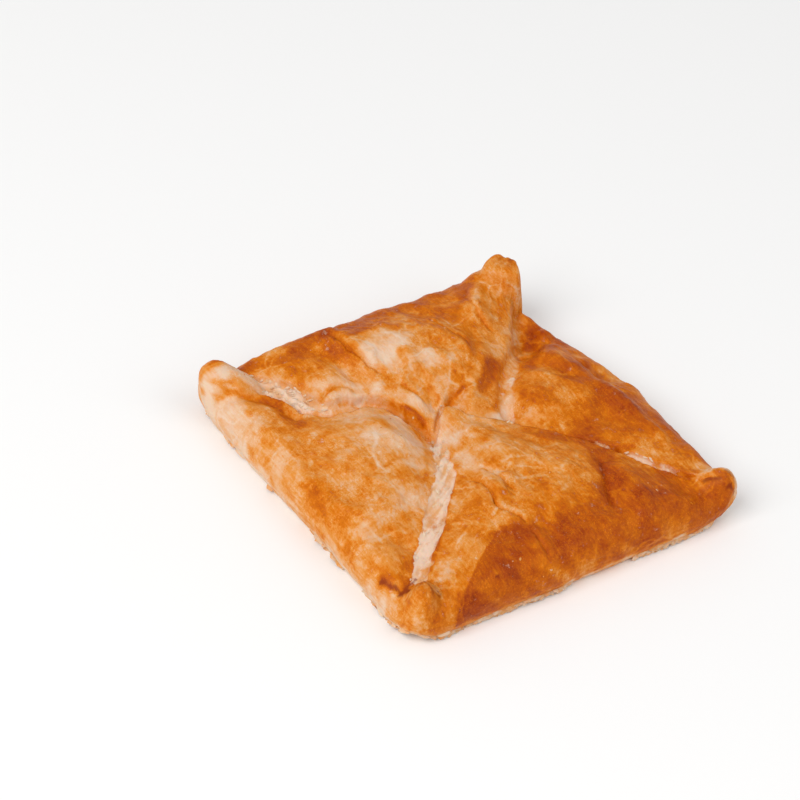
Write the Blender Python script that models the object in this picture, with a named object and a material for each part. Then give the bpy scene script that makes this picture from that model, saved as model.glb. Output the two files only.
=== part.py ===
"""An envelope khachapuri: a square of puff pastry with its four corners folded over the cheese to the middle.

The baked pastry is one closed piece. Its top is four triangular flaps that meet along four seams, and each
corner of the finished square ends in a puffed ear. Lengths are in metres, +Z is up, the base lies on z = 0
and the origin is the middle of the base. The front corner is at -X -Y and the right corner at +X -Y.
"""

import math

import bmesh
import bpy
import numpy as np

NAME = "khachapuri"
MM = 0.001

# Driving dimensions
SIDE = 0.135  # fold to fold across the finished square
FOLD_RADIUS = 0.0070  # the folded dough turns from the base to the top over this radius
FOLD_TUCK = math.radians(50)  # how far round under itself the fold goes before it meets the base
FOLD_HEIGHT = 0.0125  # height of the top just inside a fold
MIDDLE_RISE = 0.0065  # how much the filling lifts the middle above the folds
MIDDLE_REACH = 0.018  # distance over which it rises
CORNER_SHARPNESS = 15  # exponent of the outline: a higher one gives squarer corners
CORNER_LIFT = 0.0025  # the corners curl up off the baking tray
LIFT_START = 0.72  # where the curl starts, as a share of the way to the corner
LIP_SLOPE = 0.0016  # a flap's edge comes down to its seam over this distance
LIP_REACH = 0.007  # and is raised over about this much behind the edge
TIP_REACH = 0.45  # how far out the middle flap's tip bends the grid, as a share of the way to the side
EAR_BLEND = 0.0025  # rounding between an ear and the flaps
BASE_GAP = 0.0012  # from the edge of the turned fold to the flat base

# How far the sides bow outwards at their middle, and by what share the +X side runs in towards the back
BOW_FRONT, BOW_RIGHT, BOW_BACK, BOW_LEFT = 0.0008, 0.0008, 0.0005, -0.0015
DRAW_IN = 0.17

HALF = SIDE / 2
FOLD_RUN = FOLD_RADIUS * (math.pi / 2 + FOLD_TUCK)
SHEET_HALF = HALF - FOLD_RADIUS + FOLD_RUN

# Grids: quads along a side of the top sheet, more in its middle row for the seam that two flaps share, and
# quads along a side of the base
TOP_CUTS = 54
SHARED_CUTS = 10
BASE_CUTS = 24
SHARED = SHARED_CUTS / TOP_CUTS

# The seams as seen from above, in mm, from the middle outwards. The tip of the front right flap laps over
# the middle, so the front and left seams start at one end of it, and the right and back seams at the other.
SEAMS = {
    "front": [(-11.5, 1.5), (-14, -5), (-18, -12.5), (-23, -20), (-34.5, -31.5), (-43.5, -40), (-51, -48),
              (-64, -64)],
    "tip": [(-11.5, 1.5), (-8, 6), (-4, 10.2), (-0.5, 12), (1.5, 8), (3, 3.2), (6.5, 0), (11, -2), (16, -3)],
    "right": [(16, -3), (18.5, -8.5), (24, -16.5), (33, -26), (40, -35.5), (50.5, -50), (56, -58), (65, -67)],
    "back": [(16, -3), (19.5, 3.5), (25, 11), (32, 17.5), (38.5, 24), (44.5, 31.5), (50, 39), (55, 48),
             (60, 62)],
    "left": [(-11.5, 1.5), (-12.2, 7), (-14.6, 14), (-17.3, 21), (-20.5, 24.7), (-24.3, 27.4), (-31, 28.2),
             (-37, 29), (-40, 33.5), (-42.5, 39), (-48.5, 51), (-53, 56.5), (-64, 63)],
}  # fmt: skip

# Across each seam, in mm, at stations evenly spaced from its start to its end: half the width of the strip
# that lies bare between the flaps, how deep it lies, and how far the flap on its left and the one on its right
# stand up, for somebody who walks to the corner. Then the depth and the reach of the soft dip on both sides.
SEAM_SHAPES = {
    "front": ((0.5, 2.6, 2.6, 1.0), (1.5, 1.4, 1.2, 0.5), (0.8, 1.2, 0.8, 0.0), (0.0, 0.8, 0.8, 0.0), 3.2, 10),
    "tip": ((0.3, 0.3), (0.8, 0.5), (0.0, 0.0), (1.8, 1.8), 1.5, 7),
    "right": ((0.3, 0.5, 0.7, 0.6), (0.5, 0.8, 1.0, 2.0), (0.0, 0.4, 1.6, 2.6), (1.6, 1.4, 0.0, 0.0), 2.2, 9),
    "back": ((1.0, 1.6, 0.8, 0.4), (0.6, 0.8, 1.5, 2.0), (0.6, 1.5, 5.0, 4.0), (0.0, 0.4, 0.0, 0.0), 2.6, 9),
    "left": ((0.8, 1.3, 2.6, 0.8), (2.5, 4.5, 1.8, 0.4), (0.0, 0.6, 0.8, 0.4), (1.4, 3.2, 1.6, 0.4), 3.2, 9),
}

# How far each flap swells between its seams, and over what distance
SWELL = {"front_left": 0.0016, "front_right": 0.0026, "back_right": 0.0030, "back_left": 0.0046}
SWELL_REACH = 0.013

# Ears: middle (x, y), half length along the diagonal, half width, height and outward lean of the top, mm
EARS = {
    "front": ((-58.5, -60.0), 9.5, 7.5, 18.0, 0.5),
    "right": ((60.5, -59.5), 12.0, 7.5, 18.5, 3.5),
    "back": ((48.5, 52.5), 15.0, 10.5, 31.0, 2.5),
    "left": ((-58.0, 57.0), 15.5, 10.0, 20.5, 5.0),
}

# Folds and hollows of the flaps: the two ends (x, y) of each, its half width and its height, mm
CREASES = {
    "back_left_ridge": ((-17, 58), (-15, 36), 4.0, 2.2),
    "back_left_hollow": ((-25, 50), (-20, 36), 4.5, -2.2),
    "back_left_bulge": ((-9, 46), (6, 36), 13.0, 3.6),
    "back_left_spine": ((8, 50), (19, 25), 6.0, 1.8),
    "back_left_dip": ((3, 12), (14, 20), 4.0, -1.6),
    "hub_hollow": ((-4, 24), (-4, 13), 3.0, -1.8),
    "horn_spine": ((36, 46), (50, 54), 7.0, 4.0),
    "horn_foot": ((44, 24), (54, 36), 5.0, -4.0),
    "back_right_ridge": ((46, 18), (58, -34), 4.0, 1.6),
    "back_right_bulge": ((27, -4), (34, 8), 6.0, 1.2),
    "back_right_hollow": ((44, -22), (50, -8), 3.5, -1.2),
    "back_right_slope": ((59, 26), (60, 2), 7.0, -3.6),
    "back_right_slope_low": ((61, 0), (63, -38), 5.0, -1.2),
    "front_right_hollow": ((30, -37), (20, -56), 4.5, -2.6),
    "front_right_swell": ((-2, -18), (12, -34), 7.0, 1.4),
    "front_right_ridge": ((32, -42), (30, -62), 5.0, 1.6),
    "front_left_swell": ((-34, 2), (-44, -16), 12.0, 1.4),
    "front_left_hollow": ((-53, -30), (-48, -41), 3.6, -1.2),
    "front_left_valley": ((-55, 48), (-47, 33), 3.2, -2.0),
    "front_left_valley_end": ((-48, 32), (-53, 20), 3.6, -1.0),
    "ear_hollow": ((57, -58), (60, -61), 2.2, -3.5),
}


def ramp(x):
    """0 up to 0, 1 from 1 on, and a smooth rise in between."""
    t = np.clip(x, 0, 1)
    return t * t * (3 - 2 * t)


def soft_most(a, b, blend):
    """The larger of a and b, rounded where they are alike."""
    mix = np.clip(0.5 + 0.5 * (a - b) / blend, 0, 1)
    return b + (a - b) * mix + blend * mix * (1 - mix)


def smooth_line(points, steps=8):
    """A Catmull-Rom curve through points given in mm."""
    knots = np.array(points, float) * MM
    padded = np.vstack([2 * knots[0] - knots[1], knots, 2 * knots[-1] - knots[-2]])
    line = []
    for a, b, c, d in zip(padded, padded[1:], padded[2:], padded[3:]):
        for t in np.arange(steps) / steps:
            bend = (2 * a - 5 * b + 4 * c - d) * t**2 + (3 * (b - c) + d - a) * t**3
            line.append(0.5 * (2 * b + (c - a) * t + bend))
    return np.array(line + [knots[-1]])


def lengths_along(line):
    """How far along the line each of its points is."""
    return np.concatenate([[0], np.cumsum(np.hypot(*np.diff(line, axis=0).T))])


def at_share(line, share):
    """The points at these shares of the line's length."""
    reached = lengths_along(line)
    return np.array([np.interp(share * reached[-1], reached, line[:, axis]) for axis in (0, 1)])


def beside_line(x, y, line):
    """Signed distance of each point to the line, above 0 on its left, and how far along it is, 0 to 1."""
    nearest = np.full(x.shape, np.inf)
    side, place = np.zeros(x.shape), np.zeros(x.shape)
    reached = lengths_along(line)
    for (ax, ay), (bx, by), start, end in zip(line, line[1:], reached, reached[1:]):
        ux, uy = (bx - ax) / (end - start), (by - ay) / (end - start)
        forward = np.clip((x - ax) * ux + (y - ay) * uy, 0, end - start)
        dx, dy = x - ax - forward * ux, y - ay - forward * uy
        distance = np.hypot(dx, dy)
        closer = distance < nearest
        nearest = np.where(closer, distance, nearest)
        side = np.where(closer, ux * dy - uy * dx, side)
        place = np.where(closer, (start + forward) / reached[-1], place)
    return nearest * np.where(side < 0, -1, 1), place


def flat_sheet(a, b):
    """Turns a point of the plain grid into one of the flat sheet, where grid lines run along the seams.
    a goes from -1 - SHARED to 1 + SHARED and b from -1 to 1. Also says on which flap each point is."""
    beyond = abs(a) - SHARED
    at_side = beyond >= abs(b)
    ring = np.clip(np.where(at_side, beyond, abs(b)), 0, 1)
    across = np.where(at_side, b / np.maximum(beyond, 1e-9), a / (abs(b) + SHARED))
    share = np.clip((across + 1) / 2, 0, 1)
    sides = np.where(a < 0, "front_left", "back_right")
    flap = np.where(at_side, sides, np.where(b < 0, "front_right", "back_left"))
    seams = {}
    for name, corner_x, corner_y in (("front", -1, -1), ("right", 1, -1), ("back", 1, 1), ("left", -1, 1)):
        corner = (corner_x * SHEET_HALF / MM, corner_y * SHEET_HALF / MM)
        seams[name] = at_share(smooth_line(SEAMS[name] + [corner]), ring)
    place = np.zeros((2, *a.shape))
    for name, start, end in (
        ("front_left", "front", "left"),
        ("front_right", "front", "right"),
        ("back_right", "right", "back"),
        ("back_left", "left", "back"),
    ):
        place = np.where(flap == name, seams[start] * (1 - share) + seams[end] * share, place)
    tip = smooth_line(SEAMS["tip"])
    along = np.where(at_side, a > 0, share)
    straight = tip[0][:, None] * (1 - along) + tip[-1][:, None] * along
    place += (at_share(tip, along) - straight) * (1 - ramp(ring / TIP_REACH))
    return place[0], place[1], flap


def fold_profile(run):
    """How far in from the fold's outermost line the dough lies, and what share of the full height it has
    reached, after a run of this length up the fold from the base."""
    angle = -FOLD_TUCK + (math.pi / 2 + FOLD_TUCK) * np.clip(run / FOLD_RUN, 0, 1)
    inset = FOLD_RADIUS * (1 - np.cos(angle)) + np.clip(run - FOLD_RUN, 0, None)
    share = (np.sin(angle) + math.sin(FOLD_TUCK)) / (1 + math.sin(FOLD_TUCK))
    return inset, share


def outlined(x, y):
    """Turns a point of the plain square into one of the outline, with round corners and bowed sides."""
    largest = np.maximum(np.maximum(abs(x), abs(y)), 1e-9)
    power = CORNER_SHARPNESS
    rounded = np.maximum(abs(x / largest) ** power + abs(y / largest) ** power, 1) ** (1 / power)
    scale = 1 - (1 - 1 / rounded) * ramp(largest / HALF)
    x, y = x * scale, y * scale
    along_x, along_y = 1 - (x / HALF) ** 2, 1 - (y / HALF) ** 2
    right, back = np.clip(x / HALF, 0, None) ** 2, np.clip(y / HALF, 0, None) ** 2
    left, front = np.clip(-x / HALF, 0, None) ** 2, np.clip(-y / HALF, 0, None) ** 2
    drawn_in = DRAW_IN * HALF * right * ramp((y / HALF + 0.2) / 1.2)
    moved_x = x + BOW_RIGHT * right * along_y - BOW_LEFT * left * along_y - drawn_in
    moved_y = y + BOW_BACK * back * along_x - BOW_FRONT * front * along_x
    return moved_x, moved_y


def seam_relief(shape, side, place):
    """The height that a seam adds: a soft dip, a bare strip with a crisp edge on each side, and lips."""
    stations = np.linspace(0, 1, len(shape[0]))
    band, cut, left_lip, right_lip = (np.interp(place, stations, values) * MM for values in shape[:4])
    depth, reach = shape[4:]
    away = abs(side)
    outside = ramp((away - band) / LIP_SLOPE)
    lip = np.where(side > 0, left_lip, right_lip) * outside
    lip *= np.exp(-((np.clip(away - band, 0, None) / LIP_REACH) ** 2))
    dip = depth * MM * np.exp(-((away / (reach * MM)) ** 2))
    return lip - dip - cut * (1 - outside)


def top_height(x, y, flap):
    """Height of the top above the base, before the folds at the sides bring it down."""
    inward = np.clip(HALF - np.maximum(abs(x), abs(y)), 0, None)
    height = FOLD_HEIGHT + MIDDLE_RISE * (1 - np.exp(-inward / MIDDLE_REACH))
    to_seam = np.full(x.shape, np.inf)
    for name, shape in SEAM_SHAPES.items():
        side, place = beside_line(x, y, smooth_line(SEAMS[name]))
        height += seam_relief(shape, side, place)
        to_seam = np.minimum(to_seam, abs(side))
    swell = 1 - np.exp(-((to_seam / SWELL_REACH) ** 1.5))
    for name, amount in SWELL.items():
        height += np.where(flap == name, amount * swell, 0)
    for start, end, half_width, crease_height in CREASES.values():
        side, _ = beside_line(x, y, np.array([start, end]) * MM)
        height += crease_height * MM * np.exp(-((side / (half_width * MM)) ** 2))
    return height


def with_ears(x, y, height, share):
    """Raises the ears over the top, and leans them outwards."""
    lean_x, lean_y = np.zeros(x.shape), np.zeros(x.shape)
    for (ear_x, ear_y), half_length, half_width, ear_height, lean in EARS.values():
        out_x, out_y = math.copysign(math.sqrt(0.5), ear_x), math.copysign(math.sqrt(0.5), ear_y)
        dx, dy = x - ear_x * MM, y - ear_y * MM
        along, across = dx * out_x + dy * out_y, dy * out_x - dx * out_y
        reach = np.hypot(along / (half_length * MM), across / (half_width * MM))
        lobe = ear_height * MM * np.sqrt(np.clip(1 - reach**2.4, 0, 1))
        height = soft_most(height, lobe, EAR_BLEND)
        pushed = lean * MM * ramp((1 - reach) * 1.6) * share
        lean_x += pushed * out_x
        lean_y += pushed * out_y
    return x + lean_x, y + lean_y, height


def corner_lift(x, y):
    """The base is flat but for its corners, which curl up a little."""
    corner = np.minimum(abs(x), abs(y)) / HALF
    return CORNER_LIFT * ramp((corner - LIFT_START) / (1 - LIFT_START))


def top_sheet(a, b):
    """Where a point of the top's grid lies."""
    x, y, flap = flat_sheet(a * (1 + SHARED), b)
    largest = np.maximum(np.maximum(abs(x), abs(y)), 1e-9)
    inset, share = fold_profile(SHEET_HALF - largest)
    scale = (HALF - inset) / largest
    x, y = outlined(x * scale, y * scale)
    height = top_height(x, y, flap)
    lift = corner_lift(x, y)
    x, y, height = with_ears(x, y, height, share)
    return x, y, height * share + lift


def base_sheet(a, b):
    """Where a point of the base's grid lies, inside the turned folds."""
    inset, _ = fold_profile(0)
    reach = HALF - inset - BASE_GAP
    x, y = outlined(a * reach, b * reach)
    return x, y, corner_lift(x, y)


def bent_grid(mesh, columns, rows, shape):
    """A flat grid whose vertices are moved to where shape says. Returns the edges of its rim."""
    made = bmesh.ops.create_grid(mesh, x_segments=columns, y_segments=rows, size=1.0)["verts"]
    flat = np.array([v.co for v in made])
    faces = list({face for v in made for face in v.link_faces})
    rising = [f for f in faces if f.calc_center_median().x * f.calc_center_median().y > 0]
    falling = list(set(faces) - set(rising))
    bmesh.ops.triangulate(mesh, faces=rising, quad_method="FIXED")
    bmesh.ops.triangulate(mesh, faces=falling, quad_method="ALTERNATE")
    for vert, place in zip(made, np.transpose(shape(flat[:, 0], flat[:, 1]))):
        vert.co = place
    return {edge for v in made for edge in v.link_edges if edge.is_boundary}


def make_pastry(collection):
    """The pastry: a top sheet and a base sheet, bridged all round where the folds turn under."""
    mesh = bmesh.new()
    top_rim = bent_grid(mesh, TOP_CUTS + SHARED_CUTS, TOP_CUTS, top_sheet)
    base_rim = bent_grid(mesh, BASE_CUTS, BASE_CUTS, base_sheet)
    bmesh.ops.bridge_loops(mesh, edges=list(top_rim | base_rim))
    bmesh.ops.triangulate(mesh, faces=mesh.faces[:])
    bmesh.ops.recalc_face_normals(mesh, faces=mesh.faces[:])
    data = bpy.data.meshes.new(NAME)
    mesh.to_mesh(data)
    mesh.free()
    data.shade_smooth()
    data.materials.append(baked_dough())
    pastry = bpy.data.objects.new(NAME, data)
    collection.objects.link(pastry)


def baked_dough():
    """Golden baked puff pastry, a little glossy from its egg wash."""
    material = bpy.data.materials.new("baked_dough")
    material.use_nodes = True
    shader = material.node_tree.nodes["Principled BSDF"]
    shader.inputs["Base Color"].default_value = (0.70, 0.28, 0.06, 1.0)
    shader.inputs["Roughness"].default_value = 0.45
    shader.inputs["Metallic"].default_value = 0.0
    return material


def main():
    for old in list(bpy.data.objects):
        bpy.data.objects.remove(old, do_unlink=True)
    collection = bpy.data.collections.new(NAME)
    bpy.context.scene.collection.children.link(collection)
    make_pastry(collection)


main()
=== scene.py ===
# %% [markdown]
# # An envelope khachapuri
#
# A khachapuri of this kind is a square of laminated puff pastry. Cheese goes in the middle, the four
# corners are folded over it until their tips meet, and the parcel bakes until the top is golden. What the
# eye reads in it is:
#
# - four triangular flaps that swell between their seams, and a puffed ear at each corner of the square,
# - cut edges along the seams, where the thin pale layers of the dough show,
# - an egg-washed crust, brown where it stands high or lies near the seams, peach and cream where it
#   stretched.
#
# The plain solid of the pastry is loaded first. The lesson then models the same shape again on a fine
# grid, adds the folds, flakes and blisters as real relief, paints how far each spot is baked, with some
# painted shade and painted light among it, and scatters the crumbs.

import math

import bmesh
import bpy
import numpy as np
from mathutils import Matrix, Vector


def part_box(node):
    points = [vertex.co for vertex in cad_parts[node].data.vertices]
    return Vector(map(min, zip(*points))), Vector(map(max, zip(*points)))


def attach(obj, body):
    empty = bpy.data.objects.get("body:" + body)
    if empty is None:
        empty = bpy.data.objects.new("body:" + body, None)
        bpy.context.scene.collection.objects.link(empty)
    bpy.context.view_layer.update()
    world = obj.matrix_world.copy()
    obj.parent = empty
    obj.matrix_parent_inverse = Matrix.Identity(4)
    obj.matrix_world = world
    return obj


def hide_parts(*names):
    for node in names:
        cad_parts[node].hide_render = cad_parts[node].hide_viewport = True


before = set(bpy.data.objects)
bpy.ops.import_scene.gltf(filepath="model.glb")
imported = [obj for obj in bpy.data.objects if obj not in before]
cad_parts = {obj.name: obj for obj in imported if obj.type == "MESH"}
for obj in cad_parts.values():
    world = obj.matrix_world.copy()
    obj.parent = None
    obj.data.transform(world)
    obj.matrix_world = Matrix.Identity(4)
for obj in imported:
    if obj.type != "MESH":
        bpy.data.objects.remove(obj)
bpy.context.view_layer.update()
low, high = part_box("khachapuri")
MM = 0.001
print("solid:", [round((b - a) / MM, 1) for a, b in zip(low, high)], "mm")

# %% [markdown]
# ## Two helpers for materials
#
# Colours are chosen as sRGB hex values, the way a picture editor shows them, but a shader mixes light in
# linear values, so one function converts them. A material is a graph of nodes, and one more function adds
# any node with its settings and its links, which keeps the recipes below short enough to read.


# %% Colours and nodes
def linear(code):
    """A hex colour such as "D5761E" as linear red, green, blue and alpha."""
    channels = [int(code[i : i + 2], 16) / 255 for i in (0, 2, 4)]
    return tuple(c / 12.92 if c <= 0.04045 else ((c + 0.055) / 1.055) ** 2.4 for c in channels) + (1.0,)


def add(tree, kind, inputs=None, **settings):
    """Adds a node. inputs maps a socket's name or number to a value, to a socket to link from, or to a node
    whose first output is linked."""
    node = tree.nodes.new(kind)
    for name, value in settings.items():
        setattr(node, name, value)
    for name, value in (inputs or {}).items():
        if isinstance(value, bpy.types.Node):
            value = value.outputs[0]
        if isinstance(value, bpy.types.NodeSocket):
            tree.links.new(value, node.inputs[name])
        else:
            node.inputs[name].default_value = value
    return node


def new_material(name):
    """An empty material: its tree, its shader and its Object coordinates."""
    material = bpy.data.materials.new(name)
    material.use_nodes = True
    tree = material.node_tree
    place = add(tree, "ShaderNodeTexCoord").outputs["Object"]
    return material, tree, tree.nodes["Principled BSDF"], place


def per_width(width):
    """The Scale of a pattern whose shapes are this many millimetres wide."""
    return 1 / (width * MM)


# %% [markdown]
# ## Uneven by rule: noise on arrays
#
# Dough is never even. Smooth random hills of a chosen width are the raw material for bumps, wrinkles,
# ragged edges and mottled browning. The functions below work on whole arrays of points at once, and each
# one starts from a seed, so the pastry is the same every time the script runs.


# %% Noise
PRIMES = (374761393, 668265263, 974634777)  # large odd numbers that stir the bits well
STIR = 1274126177


def hashed(i, j, seed):
    """A random number from 0 to 1 for each whole-numbered place."""
    n = (i * PRIMES[0] + j * PRIMES[1] + seed * PRIMES[2]) & 0xFFFFFFFF
    n = ((n ^ (n >> 13)) * STIR) & 0xFFFFFFFF
    return ((n ^ (n >> 16)) & 0xFFFFFF) / 0xFFFFFF


def hills(x, y, width, seed):
    """Smooth hills from -1 to 1, about this wide."""
    x, y = x / width, y / width
    i, j = np.floor(x).astype(np.int64), np.floor(y).astype(np.int64)
    fx, fy = x - i, y - j
    fx, fy = fx**3 * (fx * (6 * fx - 15) + 10), fy**3 * (fy * (6 * fy - 15) + 10)
    near = hashed(i, j, seed) * (1 - fx) + hashed(i + 1, j, seed) * fx
    far = hashed(i, j + 1, seed) * (1 - fx) + hashed(i + 1, j + 1, seed) * fx
    return 2 * (near * (1 - fy) + far * fy) - 1


def rough(x, y, width, seed, layers=4, fade=0.5):
    """Hills on hills, each layer half as wide as the one before."""
    total, amount = 0, 1
    for layer in range(layers):
        turn = 0.6 * layer + seed
        tx, ty = x * math.cos(turn) - y * math.sin(turn), x * math.sin(turn) + y * math.cos(turn)
        total = total + amount * hills(tx, ty, width / 2**layer, seed + 17 * layer)
        amount *= fade
    return total


# %% Crumples, ramps and cells
def creased(x, y, width, seed, layers=3):
    """Hills that meet in sharp valleys, like crumpled paper, from -1 to 1."""
    return 1 - 2 * np.sqrt(abs(rough(x, y, width, seed, layers)) + 0.002)


def ramp(x):
    """0 up to 0, 1 from 1 on, and a smooth rise in between."""
    t = np.clip(x, 0, 1)
    return t * t * (3 - 2 * t)


def cells(x, y, width, seed):
    """Cells about this wide: how far each point is from its cell's border and from its middle, both in cell
    widths, and a random number for the cell."""
    x, y = x / width, y / width
    i, j = np.floor(x).astype(np.int64), np.floor(y).astype(np.int64)
    first, second = np.full(x.shape, 9.0), np.full(x.shape, 9.0)
    chosen = np.zeros(x.shape)
    for di in (-1, 0, 1):
        for dj in (-1, 0, 1):
            cx = i + di + hashed(i + di, j + dj, seed)
            cy = j + dj + hashed(i + di, j + dj, seed + 5)
            away = np.hypot(x - cx, y - cy)
            nearer = away < first
            second = np.where(nearer, first, np.minimum(second, away))
            chosen = np.where(nearer, hashed(i + di, j + dj, seed + 9), chosen)
            first = np.where(nearer, away, first)
    return (second - first) / 2, first, chosen


# %% [markdown]
# ## The folded square
#
# Seen from above, the pastry is a square with round corners. In section, its edge is a roll: the dough
# comes out of the base, turns over and runs in across the top. So the top is worked out as a flat sheet
# larger than the square, whose outermost strip is then rolled under. These numbers are the ones that the
# solid was built with.

# %% Sizes of the folded square
EARS_STAND_OUT = 0.99475
SIDE = (high.x - low.x) * EARS_STAND_OUT
HALF = SIDE / 2
FOLD_RADIUS = 0.0070
FOLD_TUCK = math.radians(50)
FOLD_RUN = FOLD_RADIUS * (math.pi / 2 + FOLD_TUCK)
SHEET_HALF = HALF - FOLD_RADIUS + FOLD_RUN
FOLD_HEIGHT, MIDDLE_RISE, MIDDLE_REACH = 0.0125, 0.0065, 0.018
CORNER_SHARPNESS = 15
CORNER_LIFT, LIFT_START = 0.0025, 0.72
BOW_FRONT, BOW_RIGHT, BOW_BACK, BOW_LEFT = 0.0008, 0.0008, 0.0005, -0.0015
DRAW_IN = 0.17
BASE_GAP = 0.0012
print("square:", round(SIDE / MM, 1), "mm")


# %% The roll at the edge and the outline
def fold_profile(run):
    """How far in from the fold's outermost line the dough lies, its share of the full height, and the way it
    faces there, after a run of this length up the fold from the base."""
    angle = -FOLD_TUCK + (math.pi / 2 + FOLD_TUCK) * np.clip(run / FOLD_RUN, 0, 1)
    inset = FOLD_RADIUS * (1 - np.cos(angle)) + np.clip(run - FOLD_RUN, 0, None)
    share = (np.sin(angle) + math.sin(FOLD_TUCK)) / (1 + math.sin(FOLD_TUCK))
    return inset, share, angle


def outlined(x, y):
    """Turns a point of the plain square into one of the outline, with round corners and bowed sides."""
    largest = np.maximum(np.maximum(abs(x), abs(y)), 1e-9)
    power = CORNER_SHARPNESS
    rounded = np.maximum(abs(x / largest) ** power + abs(y / largest) ** power, 1) ** (1 / power)
    scale = 1 - (1 - 1 / rounded) * ramp(largest / HALF)
    x, y = x * scale, y * scale
    along_x, along_y = 1 - (x / HALF) ** 2, 1 - (y / HALF) ** 2
    right, back = np.clip(x / HALF, 0, None) ** 2, np.clip(y / HALF, 0, None) ** 2
    left, front = np.clip(-x / HALF, 0, None) ** 2, np.clip(-y / HALF, 0, None) ** 2
    drawn_in = DRAW_IN * HALF * right * ramp((y / HALF + 0.2) / 1.2)
    moved_x = x + BOW_RIGHT * right * along_y - BOW_LEFT * left * along_y - drawn_in
    moved_y = y + BOW_BACK * back * along_x - BOW_FRONT * front * along_x
    return moved_x, moved_y


def corner_lift(x, y):
    """The corners of the base curl up a little."""
    corner = np.minimum(abs(x), abs(y)) / HALF
    return CORNER_LIFT * ramp((corner - LIFT_START) / (1 - LIFT_START))


# %% [markdown]
# ## The seams
#
# Five seams run over the top. The tip of one flap laps over the middle, so its edge is a seam too. Each is
# a smooth curve through a few points. Across a seam the section is always the same idea: a soft dip, a
# bare strip between the two flaps where the cut layers show, and a lip where a flap's edge stands up. How
# wide, deep and high changes from the middle to the corner, so those values are given at a few stations
# along the way.

# %% Lines of the seams
# Seen from above, in mm, from the middle outwards.
SEAMS = {
    "front": [(-11.5, 1.5), (-14, -5), (-18, -12.5), (-23, -20), (-34.5, -31.5), (-43.5, -40), (-51, -48),
              (-64, -64)],
    "tip": [(-11.5, 1.5), (-8, 6), (-4, 10.2), (-0.5, 12), (1.5, 8), (3, 3.2), (6.5, 0), (11, -2), (16, -3)],
    "right": [(16, -3), (18.5, -8.5), (24, -16.5), (33, -26), (40, -35.5), (50.5, -50), (56, -58), (65, -67)],
    "back": [(16, -3), (19.5, 3.5), (25, 11), (32, 17.5), (38.5, 24), (44.5, 31.5), (50, 39), (55, 48),
             (60, 62)],
    "left": [(-11.5, 1.5), (-12.2, 7), (-14.6, 14), (-17.3, 21), (-20.5, 24.7), (-24.3, 27.4), (-31, 28.2),
             (-37, 29), (-40, 33.5), (-42.5, 39), (-48.5, 51), (-53, 56.5), (-64, 63)],
}  # fmt: skip


def smooth_line(points, steps=5):
    """A Catmull-Rom curve through points given in mm."""
    knots = np.array(points, float) * MM
    padded = np.vstack([2 * knots[0] - knots[1], knots, 2 * knots[-1] - knots[-2]])
    line = []
    for a, b, c, d in zip(padded, padded[1:], padded[2:], padded[3:]):
        for t in np.arange(steps) / steps:
            bend = (2 * a - 5 * b + 4 * c - d) * t**2 + (3 * (b - c) + d - a) * t**3
            line.append(0.5 * (2 * b + (c - a) * t + bend))
    return np.array(line + [knots[-1]])


def lengths_along(line):
    """How far along the line each of its points is."""
    return np.concatenate([[0], np.cumsum(np.hypot(*np.diff(line, axis=0).T))])


def at_share(line, share):
    """The points at these shares of the line's length."""
    reached = lengths_along(line)
    return np.array([np.interp(share * reached[-1], reached, line[:, axis]) for axis in (0, 1)])


def beside_line(x, y, line):
    """Signed distance of each point to the line, above 0 on its left, how far along the line it is, 0 to 1,
    and the unit step away from the line."""
    nearest = np.full(x.shape, np.inf)
    side, place, away_x, away_y = (np.zeros(x.shape) for _ in range(4))
    reached = lengths_along(line)
    for (ax, ay), (bx, by), start, end in zip(line, line[1:], reached, reached[1:]):
        ux, uy = (bx - ax) / (end - start), (by - ay) / (end - start)
        forward = np.clip((x - ax) * ux + (y - ay) * uy, 0, end - start)
        dx, dy = x - ax - forward * ux, y - ay - forward * uy
        distance = np.hypot(dx, dy)
        closer = distance < nearest
        nearest = np.where(closer, distance, nearest)
        side = np.where(closer, ux * dy - uy * dx, side)
        place = np.where(closer, (start + forward) / reached[-1], place)
        away_x, away_y = np.where(closer, dx, away_x), np.where(closer, dy, away_y)
    length = np.maximum(nearest, 1e-9)
    return nearest * np.where(side < 0, -1, 1), place, away_x / length, away_y / length


# %% [markdown]
# ## A grid that follows the seams
#
# A crisp edge needs mesh lines along it, or it comes out as a staircase. So the grid is bent: its
# diagonals are drawn along the seams, and a few extra columns in the middle row make room for the seam
# that two flaps share.

# %% Grid sizes
TOP_ROWS = 272
SHARED_COLUMNS = 50
SHARED = SHARED_COLUMNS / TOP_ROWS
BASE_CUTS = 64
TIP_REACH = 0.45


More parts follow.
